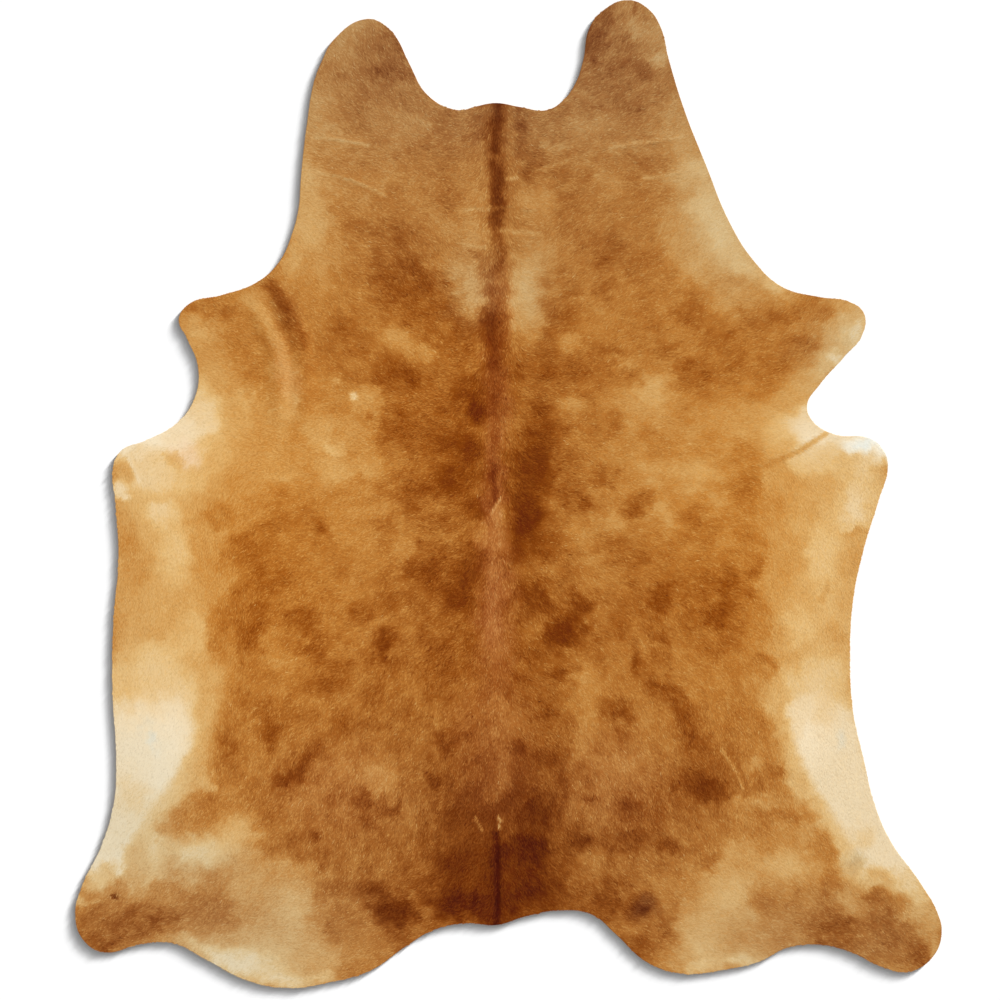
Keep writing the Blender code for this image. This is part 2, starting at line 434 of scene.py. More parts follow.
# %% Clouds of the neck
NECK_CLOUDS = (
    (-32, 104, 6, 4, 4.2), (-37, 98, 3.5, 5, 3.6, -20), (-25, 101, 4, 5, 4.8, 20),
    (-34, 93, 6, 2, 4.5, 5), (-24, 94, 4.6, 2.2, 5.3), (-31, 87, 8, 4, 4.5),
    (-30, 91, 2.4, 1.6, 4.0), (-42, 84, 3, 8, 3.6), (-40, 75, 5, 4, 4.0), (-45, 69, 3, 6, 3.1),
    (-21, 82, 4, 3, 3.7), (-27, 84, 4, 3, 3.9), (-11, 82, 6, 3.5, 4.5), (-6.4, 82.5, 2.2, 3, 4.8),
    (-6.5, 76.3, 2.5, 2.9, 4.0), (-8, 86, 5, 1.5, 4.2), (-8.6, 84.8, 3, 2.6, 3.7),
    (-10, 74, 2.4, 4, 4.1), (-16, 75, 5, 5, 4.4), (-9, 65, 5, 3, 3.6), (-14, 67, 2.5, 4, 4.7, 20),
    (-30, 70, 6, 5, 3.9), (-28, 63.6, 7, 3, 4.1), (-32, 60, 6, 3, 4.7), (-24, 57.6, 6, 3.4, 4.8),
    (-22, 66, 5, 4, 4.3), (-36, 64, 4, 4, 4.1), (-9, 58.5, 7, 3, 3.4), (27, 107, 5, 3, 4.4),
    (18.5, 101, 2.4, 5.5, 5.5), (22, 101, 1.8, 2, 5.6), (21.5, 106.5, 2.6, 2, 5.6, 30),
    (25, 103, 3, 3, 4.1), (30, 103.5, 4, 3, 3.5), (34, 98, 2.5, 4, 3.4), (26, 99, 3, 2.5, 5.0),
    (30, 94, 4, 2.5, 5.2, -10), (25, 95, 3, 2, 5.0), (20.4, 90.6, 3.6, 3, 4.1),
    (27.4, 87, 5.6, 2.5, 4.7), (10, 78, 4, 2, 3.3), (18, 82.5, 4, 3, 3.6), (3.2, 81, 1.8, 6, 5.6),
    (4.2, 73, 3, 4, 5.1), (6.2, 77.5, 2, 2.4, 5.3), (12, 71, 3.5, 6, 4.4), (5.8, 64.5, 4, 5, 3.3),
    (30, 74, 6, 2, 4.7, -5), (24, 77.5, 5, 1.5, 3.7, 5), (31, 66, 5, 3, 4.5), (28, 62, 6, 3, 4.1),
    (22, 68, 3, 3, 3.6), (14, 62, 4, 5, 4.2), (22, 62, 3, 3, 4.2), (43, 73, 4, 2, 2.6, 5),
    (39, 67, 3, 1.6, 3.9, 30), (43, 64, 4, 5, 2.7, 20), (38, 81, 3, 3, 3.6), (6, 84, 4, 2, 4.4),
    (12, 85, 3, 2, 4.9), (20, 86, 3, 2, 4.6), (37, 60, 3, 4, 3.3),
)
print(len(NECK_CLOUDS), "clouds on the neck")

# %% Clouds of the shoulders
SHOULDER_CLOUDS = (
    (-45, 59, 4, 4, 2.9), (-48.5, 52.5, 2.5, 4, 2.8), (-41, 52, 5, 4, 3.6),
    (-38.6, 49.4, 2.2, 2, 4.4), (-40, 42, 5, 5, 4.0), (-56.2, 34.6, 2.6, 4, 3.9, -25),
    (-68, 42.5, 6, 1.9, 5.0, 5), (-69, 37.5, 3.5, 3, 3.6), (-64.5, 41, 4, 2, 5.0),
    (-63, 32, 4, 3, 4.1), (-59, 26, 5, 4, 4.3), (-64, 26, 3, 2.5, 3.8), (-68.5, 24, 2, 3, 2.6),
    (-67, 18.5, 4, 5, 1.3), (-58.5, 21, 5, 3, 2.8), (-57, 11, 7, 4, 3.4), (-47, 12, 3, 5, 3.7),
    (-36, 36.4, 3.5, 3.6, 4.9), (-35, 43, 2, 2, 3.8), (0.8, 40.5, 2.2, 4.5, 3.2),
    (-18.5, 36, 2.4, 2, 4.2), (-25, 49, 7, 6, 5.4), (-18, 49, 4, 5, 5.7), (-24, 44, 5, 3, 5.6),
    (-25, 55, 5, 3, 5.1), (-9.5, 47, 3, 7, 3.1, 8), (-7.5, 42, 2, 3, 2.9), (-13, 52, 4, 3, 3.7),
    (-10, 36, 5, 2.5, 5.4, 15), (-24, 33.5, 5.5, 3.2, 3.1, -25), (-18.5, 32, 2.4, 1.4, 3.0),
    (-26, 26, 5, 3.6, 5.7), (-23, 24, 3.4, 3, 5.4), (-17, 28, 4, 3.5, 4.0), (-8.5, 23, 4, 3.4, 5.9),
    (-7, 18.5, 3, 3, 6.5), (-18.6, 23.8, 2.6, 2.5, 4.3), (-22, 19.8, 2, 1.7, 5.4),
    (-24, 14, 6, 4, 5.4), (-14, 12.5, 5, 3, 5.6), (-9.5, 10, 3, 3, 5.8), (-31.8, 20.6, 4, 3.4, 3.0),
    (-38.5, 24, 2, 1.2, 2.9), (-42, 14.5, 3, 4.5, 3.0), (-35, 13, 3, 3, 3.6), (-33, 7, 4, 2.5, 3.3),
    (-39, 6, 4, 3, 3.0), (-31, 41, 4, 3, 4.3), (-53.5, 30, 1.6, 3, 3.6), (-33, 28, 5, 3, 4.5),
    (-42, 30, 3.2, 5, 4.3), (-44, 22, 3, 4, 4.0), (-14.5, 36.5, 3, 3, 4.5), (-52, 13, 2.5, 4, 3.2),
    (-54, 22, 3, 3.4, 3.5), (-52, 27.5, 1.6, 3, 3.3), (3.8, 47.5, 3.5, 7, 3.1), (8, 53, 4, 4, 3.5),
    (4.5, 38, 3, 6, 3.4), (21, 56, 6, 3.5, 5.1), (22, 52, 4, 3, 5.3), (29.5, 50, 4, 4, 4.5),
    (13, 42, 3, 6, 5.1), (21.5, 45.5, 3, 2.5, 5.1), (51.5, 25, 2.8, 3, 3.6), (19, 39, 3.5, 3, 4.0),
    (14, 34, 3.5, 2, 3.3, 15), (22, 31.8, 2.5, 1.5, 5.4), (17, 28, 7, 3, 5.0),
    (26.5, 29, 2.5, 2, 3.4), (32, 23, 4, 4.5, 3.2), (26, 25, 3, 1.5, 4.8),
    (14.5, 19, 3.5, 2.5, 3.4), (16, 11.5, 4, 3, 3.7), (23.5, 16, 2.2, 3, 5.3), (6, 29, 5, 3, 5.6),
    (7.5, 12, 4.5, 7.5, 6.0), (11, 14, 2, 2, 5.4), (39.6, 40, 3.6, 4.4, 5.3),
    (47.8, 42.5, 3.5, 3, 3.3), (46, 58, 3, 4, 2.7, 25), (42, 51, 4, 4, 3.2), (51, 48, 4, 1.5, 4.0),
    (60, 46.5, 3, 1.5, 3.4, -25), (61, 39.5, 5, 2.3, 5.2, 15), (54, 38, 4, 2, 5.0, 10),
    (73.5, 41, 4, 2, 3.6), (77, 37, 2, 3, 2.6, -35), (73, 32, 2, 3, 3.0, -35),
    (69, 40, 2.6, 1.5, 4.3), (69.8, 35, 2.6, 2.4, 3.0), (72, 30, 2, 2, 1.9),
    (62, 32.6, 4, 2.6, 4.8, 10), (66.6, 36, 2.2, 1.8, 3.7), (59, 29, 4, 2, 4.9),
    (57, 23.5, 4, 3, 4.2), (42, 25.5, 5.5, 4, 5.3), (39, 28, 2, 2, 5.4), (48, 34, 4, 2.5, 4.8),
    (30, 38, 5, 4, 4.4), (69, 28, 2.5, 4, 3.1, -20), (63, 14.8, 5.5, 3.2, 1.6, 12),
    (50, 17.5, 8, 2.6, 3.1, 6), (33, 12, 6, 2.5, 4.4), (44, 12, 4, 2.4, 4.0),
    (40.5, 11.5, 0.8, 0.5, 2.8), (53, 9, 4, 3, 4.2), (31.5, 43, 5, 2.8, 4.1), (27, 41, 4, 3, 4.2),
    (33, 32, 4, 2, 4.6), (38, 55, 3, 4, 3.4), (50, 28, 4, 3, 4.8), (35, 18, 3, 3, 3.6),
    (-36, 30.5, 2.4, 2, 5.2), (-47.5, 20, 1.6, 2.6, 2.6), (-47.6, 29, 1.6, 2.6, 3.3),
    (-11, 29.4, 2, 2, 4.4), (-28.6, 15.8, 2, 1.8, 5.4), (-39.4, 11, 2, 2, 2.4),
)
print(len(SHOULDER_CLOUDS), "clouds on the shoulders")

# %% Clouds of the flanks
FLANK_CLOUDS = (
    (-78, 13, 3, 2, 0.5, 20), (-74, 12.5, 2, 2, 0.9), (-70.5, 8.5, 2.5, 2, 1.2),
    (-82.5, 9, 2, 1.5, 1.5), (-86, 6, 1.8, 3.5, 2.1, -10), (-86, 0.6, 2, 2.2, 1.5),
    (-79, 4, 4, 3, 1.9), (-72, 3, 4, 3, 2.2), (-75, 7, 1.4, 2.4, 2.6), (-65, 7, 3, 3, 2.5),
    (-60, 6, 4, 4, 3.2), (-52, 5, 5, 4, 3.1), (-77, -4.5, 4, 3, 1.7), (-74.5, -13, 3.5, 7, 1.8),
    (-85, -12, 3, 6, 3.5), (-83, -17, 3, 6, 3.3), (-81, -28, 2.5, 2, 2.7), (-84.5, -34, 3, 5, 2.8),
    (-77, -35.5, 4, 2.5, 2.0), (-73, -32, 3, 5, 2.2), (-79, -41, 9, 7, 1.7),
    (-68, -15, 2.5, 9, 3.1), (-64.5, -5, 4.5, 3, 4.0), (-63.5, -16, 3, 3, 4.0), (-62, 3, 4, 3, 3.4),
    (-57.5, -13, 5, 5, 5.0), (-57, -22, 4.5, 4, 5.1), (-58, -32.5, 4, 4.5, 5.4),
    (-52, -19, 4, 4, 5.1), (-53, -7.5, 3.5, 3, 4.8), (-52, -28, 2.4, 2.4, 4.8),
    (-49, -3.8, 4, 2.3, 4.7), (-44, -7, 4, 4, 4.8), (-41.5, -8, 2, 2, 5.5), (-35, -6, 5, 7, 3.7),
    (-33, -13, 4, 3, 3.8), (-26.5, -8.5, 3, 2.5, 5.0), (-22, -1, 2.8, 4.2, 5.5),
    (-35, 2.5, 4, 2, 4.0), (-44, -15, 3, 4, 4.1), (-39, -19, 4, 2, 4.1), (-33, -20.5, 3, 2, 3.7),
    (-46.5, -27.5, 3.5, 3, 5.4), (-43.5, -34, 3.5, 3, 5.7), (-52.4, -34, 2.3, 3, 3.5),
    (-51, -37, 4, 2.6, 3.3), (-39.5, -28, 3, 2, 3.8), (-36, -34, 3.5, 3, 3.8),
    (-33, -26.5, 3.5, 2.2, 5.3, -10), (-27.2, -34, 2.4, 4.8, 6.5), (-36.5, -38.5, 3, 1.5, 4.7),
    (-40, -42, 5, 2.6, 5.1), (-44.5, -45, 3, 2, 4.1), (-26, -22.5, 4, 3.5, 4.6),
    (-21.5, -16, 1.5, 2, 5.9), (-30, -45, 3, 3, 5.0), (-64, -32, 3, 6, 4.0),
    (-65, -42, 2.5, 4, 3.2), (-54.6, -46.5, 4.4, 2.6, 4.7), (-51.4, -45.6, 2, 1.8, 3.9),
    (-70, -30, 2.5, 7, 2.2), (-29.6, -3, 3.2, 2.6, 3.7), (-31, -16, 3.6, 2.4, 3.7),
    (-30, -38, 2, 1.5, 5.2), (-47, -21, 3, 3, 4.3), (-61, -27, 3, 4, 4.6),
    (-56.5, -26.5, 3, 3, 5.3), (-34, -21, 3, 2, 4.0), (-86.5, -42.2, 4, 5.3, 2.0),
    (42, 5.5, 6, 2.5, 3.0), (40, 1.5, 3, 1.5, 3.1), (32, 5, 3, 2, 3.4), (32, 1.5, 3, 2, 3.4),
    (21.5, 4, 3, 3, 5.1), (28.3, -2.3, 3.3, 2.4, 5.6, 10), (34, -4, 3, 2.5, 3.0),
    (23, -6, 2.5, 3, 3.2), (23.5, -11, 2.4, 2, 4.6), (19.5, -15, 2.4, 2.4, 3.5),
    (42, -5.5, 4, 2.5, 5.0, -10), (35.5, -7.5, 3, 2, 3.6), (29.5, -15, 2, 2.5, 4.9),
    (34, -17, 3.2, 3.4, 3.8), (40.5, -14, 5, 3.4, 3.9), (53.4, 1, 3, 4, 4.6),
    (46.4, -1, 2.6, 2, 3.1), (48, -10, 2.5, 3.5, 3.6), (54, -9, 3.5, 4, 4.0),
    (54.5, -15.5, 2.2, 2.4, 5.2), (60, -4, 3.5, 4, 3.8), (62, -14, 3, 5, 3.5),
    (76.5, -4, 3.5, 4, 2.2, 15), (77.5, -9, 3, 1.2, 3.5, 10), (76, -15, 3, 5, 3.1),
    (69, -14, 3.5, 6, 2.2), (70, -21, 1.4, 2.2, 3.2), (75, -23, 2.5, 4, 2.9),
    (65, -30, 4.5, 5, 2.3), (73, -31, 2.5, 4, 3.1), (60, -35, 2.5, 5.5, 3.1), (62, -41, 3, 3, 2.7),
    (70, -41, 8, 5, 1.8), (68, -47, 5, 4, 1.5), (47.8, -20, 4, 4, 5.2), (46.5, -27, 4, 3.5, 5.8),
    (34, -24, 3.3, 4.5, 5.6), (24, -30.5, 2.8, 2.4, 5.4), (33.5, -33, 3.2, 1.7, 5.3, -35),
    (28.3, -37.5, 1.8, 2.2, 5.4), (29.3, -34.6, 2.3, 1.7, 3.9), (35, -44.5, 5.6, 3.4, 5.9, -45),
    (22.5, -47, 3, 2.6, 5.6), (36.5, -48.5, 2.6, 2.4, 5.6), (50.5, -27, 3, 4, 5.0),
    (49, -34, 3.4, 2.5, 5.0), (55.5, -37, 2.4, 2, 4.5), (56.5, -27, 2.5, 4, 4.2),
    (52, -22, 3, 3, 4.8), (25.5, -37, 1.8, 2, 4.0), (29.4, -27.4, 2.5, 2, 4.4),
    (28, -25, 1.8, 2, 4.1), (31.4, -19.3, 2.6, 2.6, 4.0), (40.8, -35.8, 3.4, 2.5, 3.8),
    (45, -40.6, 4, 2.6, 3.9), (42, -45, 2, 2, 3.8), (23, -20, 3, 4, 4.1), (40, -22, 2.5, 3, 4.7),
    (40, -28, 2, 2.5, 4.9), (72, 1, 4, 3, 2.8), (66, -3, 3, 3, 3.2), (54, -44, 3.2, 3, 3.6),
    (59, -46, 2.6, 3.6, 2.6), (29, -44, 2.5, 3, 4.2), (59.5, 3, 3.4, 3, 3.1),
    (78, 7.5, 4.5, 2.3, 2.8), (31, -10, 4, 2, 4.2), (30, 10, 4, 2, 4.1),
)
print(len(FLANK_CLOUDS), "clouds on the flanks")

# %% Clouds of the back
BACK_CLOUDS = (
    (-13, 3.5, 5.5, 4, 6.0, 5), (-9, 9, 2.4, 2.6, 6.1), (6, 6, 4, 6, 6.1), (4, -5, 3.2, 7, 6.5),
    (7, -11, 3.5, 3.5, 5.9), (2, -13, 2, 2.5, 6.1), (-6.5, -3, 2.5, 3, 5.6),
    (-15, -3.3, 4.5, 2.2, 3.9), (-16, -8, 4, 3, 4.2), (-23.5, -12, 2.2, 4.5, 3.7),
    (-9.5, -7, 2.6, 2, 4.2), (-5, -8, 2, 2.2, 3.7), (-20, -11, 1.7, 1.5, 5.9),
    (-12, -10, 2.5, 2, 4.1), (-7, -14.5, 3.5, 2.5, 6.0), (-10.5, -21, 3.2, 6.5, 6.4),
    (-17, -17, 3.6, 2.8, 6.2), (6, -24, 3.3, 3, 6.0, -35), (15.5, -24, 3, 3.6, 6.2),
    (11.5, -31, 4.4, 4.4, 6.8), (12, -16, 6, 2.3, 4.3), (16.4, -7.5, 4.0, 6, 3.6),
    (16.7, -2, 1.9, 3.2, 5.3), (11.4, -3.4, 2.3, 3.2, 4.2), (16.6, -43, 3.5, 6, 3.5),
    (11.2, -39.3, 4, 2, 6.2), (-14.5, -37.5, 4.5, 3.5, 5.2), (-2, -38.5, 1.6, 2.5, 5.8),
    (-1.8, -48, 2, 2.4, 4.1), (3, -41, 3, 3, 5.3), (-21.5, -43.5, 3, 3, 4.0),
    (-9.5, -44, 3, 4.4, 4.5), (-14, -30, 4, 3, 4.8), (4.2, -30.3, 3, 2.5, 4.3),
    (-23, -28.5, 3.4, 2.8, 4.0), (18.5, -20, 2.8, 3, 3.6), (9, -20.4, 2.6, 2.4, 4.7),
    (20.4, -28.2, 2.3, 3.2, 3.8), (-12.5, -54, 3.2, 3.2, 6.2), (-13.5, -63, 4.5, 4, 5.6),
    (-8, -67, 4, 3, 5.9), (-12.5, -73, 5, 4, 6.4), (3.2, -56, 2.2, 3, 6.5), (9, -58.5, 4, 3.5, 6.0),
    (8.2, -49.4, 2.8, 2.5, 6.1), (12, -64, 2.3, 4, 5.7), (17.9, -52.6, 3.2, 6.8, 3.7),
    (19, -69, 4.5, 4, 4.2), (15.4, -78, 2.8, 2, 6.5), (16, -74, 2.2, 1.6, 5.0),
    (17.5, -72, 3, 2.2, 3.9), (17, -84, 3.5, 3.5, 4.2), (21, -92, 3.2, 3, 5.9),
    (-27, -63.5, 2.6, 3, 3.5), (-23, -72, 3, 3.5, 4.1), (-24, -82, 4, 4, 5.4),
    (-16.3, -94, 3, 3, 4.2), (-20.2, -94.6, 1.6, 2, 6.2), (-18.4, -75, 1.8, 3.6, 5.0),
    (-12, -82, 5, 3.4, 6.7), (-11.5, -91, 5.2, 3.6, 7.0), (-6, -92, 3, 3.4, 7.3),
    (5, -80, 5, 4.5, 7.3), (5, -87, 4.5, 3, 6.7), (-10.5, -76, 3.5, 2, 6.0), (2, -91, 3, 3, 6.9),
    (5, -72.5, 4, 3, 6.1), (-3.4, -66, 2.2, 3, 4.8), (0.2, -73, 1.8, 3, 5.0), (8, -69.5, 3, 3, 6.6),
    (26, -48, 3.5, 3, 5.7), (25, -55, 3, 3, 5.0), (-24, -54, 4, 3, 5.0), (-25, -47.5, 3, 3, 5.2),
    (2.6, -65.4, 3, 2.6, 6.2), (-8, -58, 3, 3, 5.2), (6, 18.5, 3, 2, 5.8), (5, 23, 4, 2.5, 4.9),
    (-1, 12, 3, 4, 4.9), (-22, -35, 2.6, 3, 4.6), (20, -60, 3, 3, 4.3), (22, -64.5, 3, 2, 3.4),
    (-20, -58, 3, 3, 4.6), (5.6, 14.4, 2, 2, 5.4), (13.4, 7, 2, 2.4, 4.4), (-5.2, 6, 1.4, 2.2, 4.9),
    (2, -22.4, 2, 2, 6.3), (11.2, -77.6, 2.4, 2.8, 5.0), (-4.6, -76, 1.8, 1.8, 6.0),
    (18, -66.8, 1.8, 1.5, 5.9), (1.6, -50.5, 2, 2.3, 4.2), (-17, -65, 2, 2.3, 6.4),
)
print(len(BACK_CLOUDS), "clouds on the back")

# %% Clouds of the hindquarters
HIND_CLOUDS = (
    (-67, -50, 2.2, 7, 2.8), (-64.5, -55, 3, 5, 4.3), (-67.5, -64, 3, 3, 2.6),
    (-58, -47, 4, 3, 4.8), (-62, -56, 3.4, 5, 5.0), (-58.5, -56, 2, 2, 4.2),
    (-53.4, -52.6, 3.4, 4.2, 5.9), (-44.5, -58.5, 3, 6.5, 6.0, -42), (-49.5, -64, 5, 2.6, 6.3, 20),
    (-36, -51, 5, 3.5, 5.2), (-41, -67, 2, 2, 4.2), (-37, -61, 4, 4, 4.3),
    (-30, -62.5, 4, 3.5, 3.8), (-31.5, -69, 3.4, 2.8, 6.4), (-26.6, -70.5, 1.8, 1.8, 6.1),
    (-37.8, -68.5, 2.4, 2.5, 5.0), (-44.5, -69, 3, 3, 4.4), (-47, -79, 6, 4, 5.4, -10),
    (-42.5, -77, 2.5, 2, 5.8), (-41, -80.5, 4, 2.5, 5.5, -25), (-47, -77, 2.5, 2, 5.1),
    (-51.5, -72, 4, 4, 5.1), (-53.6, -78.6, 2.6, 2.4, 4.6), (-50, -80.5, 2.4, 2, 4.0),
    (-62, -62, 3.5, 3.5, 4.8), (-56, -66, 3, 3, 4.6), (-71, -70.2, 6.6, 3.2, 4.0, 28),
    (-76.6, -74.6, 2.8, 1.8, 3.5, 35), (-66, -68.5, 3, 2.6, 4.4), (-61.5, -75, 4.5, 3.5, 2.5),
    (-68.5, -79, 8, 3.6, 2.3), (-58, -84, 5, 3, 3.3), (-64, -86, 3, 2.5, 3.9),
    (-86, -87, 3, 2, 4.0, 20), (-82, -84, 3, 3, 3.1, 30), (-81, -94.6, 7.5, 2.8, 5.8, 4),
    (-84, -97, 5, 2, 5.4), (-91.5, -100, 4, 2.6, 6.0), (-94, -93.8, 2.4, 1.6, 4.2),
    (-91.8, -89.2, 3, 2.4, 3.8), (-65, -92, 6, 4.5, 4.7), (-76, -88, 4, 2.2, 4.6),
    (-70, -99, 4.5, 1.8, 2.6), (-77, -98.3, 3, 1.9, 3.4), (-65, -101, 6, 1.6, 2.3, -22),
    (-67, -105, 3, 1.8, 3.6, -25), (-60, -103.5, 7, 3, 2.1, -12), (-44, -103, 4, 4, 3.0),
    (-50, -108.5, 6, 1.6, 1.9), (-42, -107.8, 3.5, 1.8, 2.2), (-48, -93, 4.5, 6, 2.8),
    (-52, -86, 3.5, 3, 3.6), (-56.5, -92, 3, 3.5, 3.6), (-48, -82.5, 4, 2.4, 3.6),
    (-42, -104, 4, 2.5, 2.8), (-34, -102, 4, 2.5, 3.9), (-36, -96, 4, 3.5, 4.4),
    (-37.5, -88, 4.8, 3.4, 5.7), (-31.2, -88.4, 4, 3.3, 6.2), (-25.5, -92.5, 5.0, 4.6, 6.3),
    (-25.5, -94, 3.5, 3, 6.6), (-24, -99.5, 3, 3, 5.5), (-29, -79, 4, 3, 5.2),
    (-34, -78, 3, 3, 4.9), (-35, -74, 3, 2, 5.4), (-29.5, -73, 2.4, 2, 5.7),
    (-36, -82.5, 3, 2, 5.3), (-32, -84, 2.2, 1.9, 5.5), (-76, -54, 4, 6, 0.7),
    (-83, -68, 4, 4, 1.2), (-89.6, -85, 2.6, 2.4, 1.9, 40), (-83, -80, 3, 4, 2.3, 30),
    (-40, -73.5, 3, 2, 4.8), (41, -54, 2.8, 7, 5.8, 38), (36.8, -55, 2.2, 2, 4.2),
    (43, -65, 6, 3.6, 6.3), (45, -66.5, 4, 2.4, 6.4), (43.5, -59.5, 3.5, 2.3, 5.5),
    (50.5, -65, 3, 2, 5.5), (33, -51, 3.5, 4, 4.3), (31, -58, 4, 2.5, 4.5), (27, -63, 5, 4, 3.9),
    (28, -70.5, 4, 3.2, 5.7), (26, -77, 5.5, 2.4, 5.9), (35.5, -78, 3, 2.2, 5.9),
    (36, -71, 3, 2.5, 4.9), (44.5, -73, 4, 3, 4.8), (57, -62.5, 5, 1.8, 4.9, 8),
    (55, -54, 3.5, 5, 4.3), (54, -60.5, 2.4, 1.6, 3.4), (56, -68.5, 6, 1.8, 3.4),
    (53, -65.5, 3, 1.6, 4.9), (64.5, -64.6, 2.4, 2.2, 2.3), (66.4, -69, 2.8, 1.7, 3.4),
    (69, -72, 1.8, 1.6, 3.4), (62.5, -72, 5.5, 2.6, 4.9), (54, -74, 3, 3, 4.2),
    (55, -78, 5, 2, 3.9), (66.5, -76, 1.8, 2, 3.4), (70.5, -80, 2.8, 5.5, 4.6, 12),
    (71, -87, 2.8, 3.2, 5.0), (61, -83, 5.5, 3.5, 2.9), (52, -80, 3.5, 2.5, 3.0),
    (49, -89.5, 6, 5, 2.4, 20), (43, -98, 5, 6, 2.6), (39, -87.5, 2.5, 2.5, 3.8),
    (44.5, -82, 3.5, 2.5, 4.4), (35, -83, 3, 3, 4.5), (26, -84, 4, 3, 4.9), (61, -91, 6, 4.5, 4.3),
    (57, -97.5, 5, 2.5, 3.7), (54, -94, 1.8, 1.8, 2.9), (73.5, -96, 5.5, 2.8, 5.8, -12),
    (82, -91, 4, 2.4, 4.8), (84, -85.6, 3.6, 2.6, 2.6, -30), (83.5, -97, 4.5, 3, 5.1),
    (85.4, -93.6, 1.8, 1.4, 4.0), (78.4, -93.4, 2.2, 1.9, 3.9), (91.5, -103, 4, 2.6, 5.5),
    (92.6, -98.5, 2.2, 1.8, 3.5), (95.5, -101, 2, 3, 3.0), (95, -95.5, 2, 3, 3.4),
    (89.5, -93.8, 4, 2.6, 3.6), (76.6, -90.5, 2.2, 4.2, 3.2), (80, -102, 4, 1.5, 4.5, -20),
    (52, -104, 6, 1.6, 2.4), (43, -105.3, 4, 1.8, 2.6), (62, -99.5, 5, 1.8, 3.9),
    (72, -101, 4, 1.6, 5.8), (30, -92, 4, 3.6, 5.8), (23, -89.5, 3, 4.5, 5.6),
    (32.5, -100.5, 4, 3, 5.1), (36.5, -92, 2, 2.6, 4.4), (35, -96.5, 2.4, 2.2, 5.2),
    (28, -102, 4.5, 3.4, 5.9, -40), (34.5, -105.5, 2.6, 1.6, 4.7), (79, -77, 3, 3, 1.5),
    (89, -86, 4, 3, 1.5, -40), (91.6, -89.4, 2.4, 3, 2.7, 30), (77.5, -83, 3, 2.5, 2.6),
    (70, -56, 3, 4, 0.8), (48, -49, 3, 3, 4.5), (-95, -90.4, 2, 1.8, 2.4), (-83, -77, 2, 2, 1.2),
    (-39, -98, 2, 2, 4.8), (60, -57, 2, 4, 3.9), (63.5, -52, 2, 5, 1.6),
)
print(len(HIND_CLOUDS), "clouds on the hindquarters")

# %% [markdown]
# ## Glazes
#
# Thin washes go over the finished clouds. Each is a soft oval that makes its place a part of a tone
# darker, or lighter where the number is below 0, and keeps the clouds that are on it.

# %% Glazes
GLAZES = (
    # name, x, y, half width, half height, tones darker, turn
    ("rump", -3, -82, 18, 15, 0.45),
    ("rump, left of the seam", -21, -92, 13, 7, 0.6),
    ("rump, right of the seam", 18, -91, 16, 7, 0.65),
    ("croup", 2, -66, 24, 12, 0.5),
    ("right croup", 30, -72, 14, 12, 0.5),
    ("loin", -4, -24, 22, 20, 0.4),
    ("right loin", 36, -26, 14, 14, 0.45),
    ("left loin", -38, -38, 18, 12, 0.35),
    ("left of the spine", -12, 8, 12, 16, 0.55),
    ("right of the spine", 8, 4, 9, 14, 0.5),
    ("withers", -16, 30, 16, 12, 0.4),
    ("neck, by the spine", -6, 74, 8, 16, 0.3),
    ("neck, right of the spine", 10, 68, 5, 12, 0.3),
    ("left lobe", -26, 96, 7, 9, 0.6),
    ("left lobe, tip", -34, 105, 7, 3, -0.9),
    ("right lobe", 19, 101, 5, 9, 0.55),
    ("right lobe, low", 26, 91, 10, 4, 0.5),
    ("left shoulder", -50, 35, 5, 5, 0.5),
    ("belly, left low", -86, -74, 7, 12, 0.35),
    ("neck rim, left", -43, 72, 6, 24, -0.35, 2),
    ("neck rim, right", 49, 58, 9, 16, -0.75, 32),
    ("neck rim, right high", 36, 84, 5, 14, -0.4, 12),
    ("left foreleg", -69, 34, 6, 10, -0.9),
    ("left foreleg, rim", -56, 45, 12, 2.5, -0.5, 15),
    ("right foreleg", 77, 36.5, 6, 8, -1.1),
    ("right foreleg, root", 56, 36, 8, 8, -0.3),
    ("right foreleg, under", 68, 26, 5, 6, -0.9, -30),
    ("right neck, low rim", 58, 48, 10, 3, -0.9, -40),
    ("right armpit", 65, 12, 12, 5, -0.6),
    # Lighter towards the right corner: partly its paler hair, partly a painted light rim along the
    # edge.
    ("right corner", 81, 3, 6, 11, -1.3, -8),
    ("right flank", 66, -16, 11, 28, -0.45),
    ("left corner", -81, 2, 9, 9, -0.5),
    ("left shoulder, low", -40, 4, 16, 12, -0.25),
    ("right shoulder, low", 34, 4, 14, 11, -0.35),
    ("right shoulder cloud", 27, 20, 7, 5, -0.9),
    ("spine, right side", 3.5, 46, 3.5, 11, -0.55),
    ("right belly border", 63, -50, 5, 12, -0.5, 6),
    ("left belly border", -67.5, -52, 4, 12, -0.5),
    ("left hock", -72, -80, 9, 5, -0.6, 15),
    ("left hock, low", -80, -89, 5, 6, -0.7),
    ("right hock", 66, -79, 8, 10, -0.5),
    ("right hind leg, rim", 92, -92, 5, 6, -0.9, -40),
    ("left thigh rim", -60, -105, 12, 3.5, -0.8, -15),
    ("right thigh rim", 44, -104, 14, 4, -0.7),
    ("left thigh", -46, -86, 12, 10, -0.35),
)
print(len(GLAZES), "glazes")
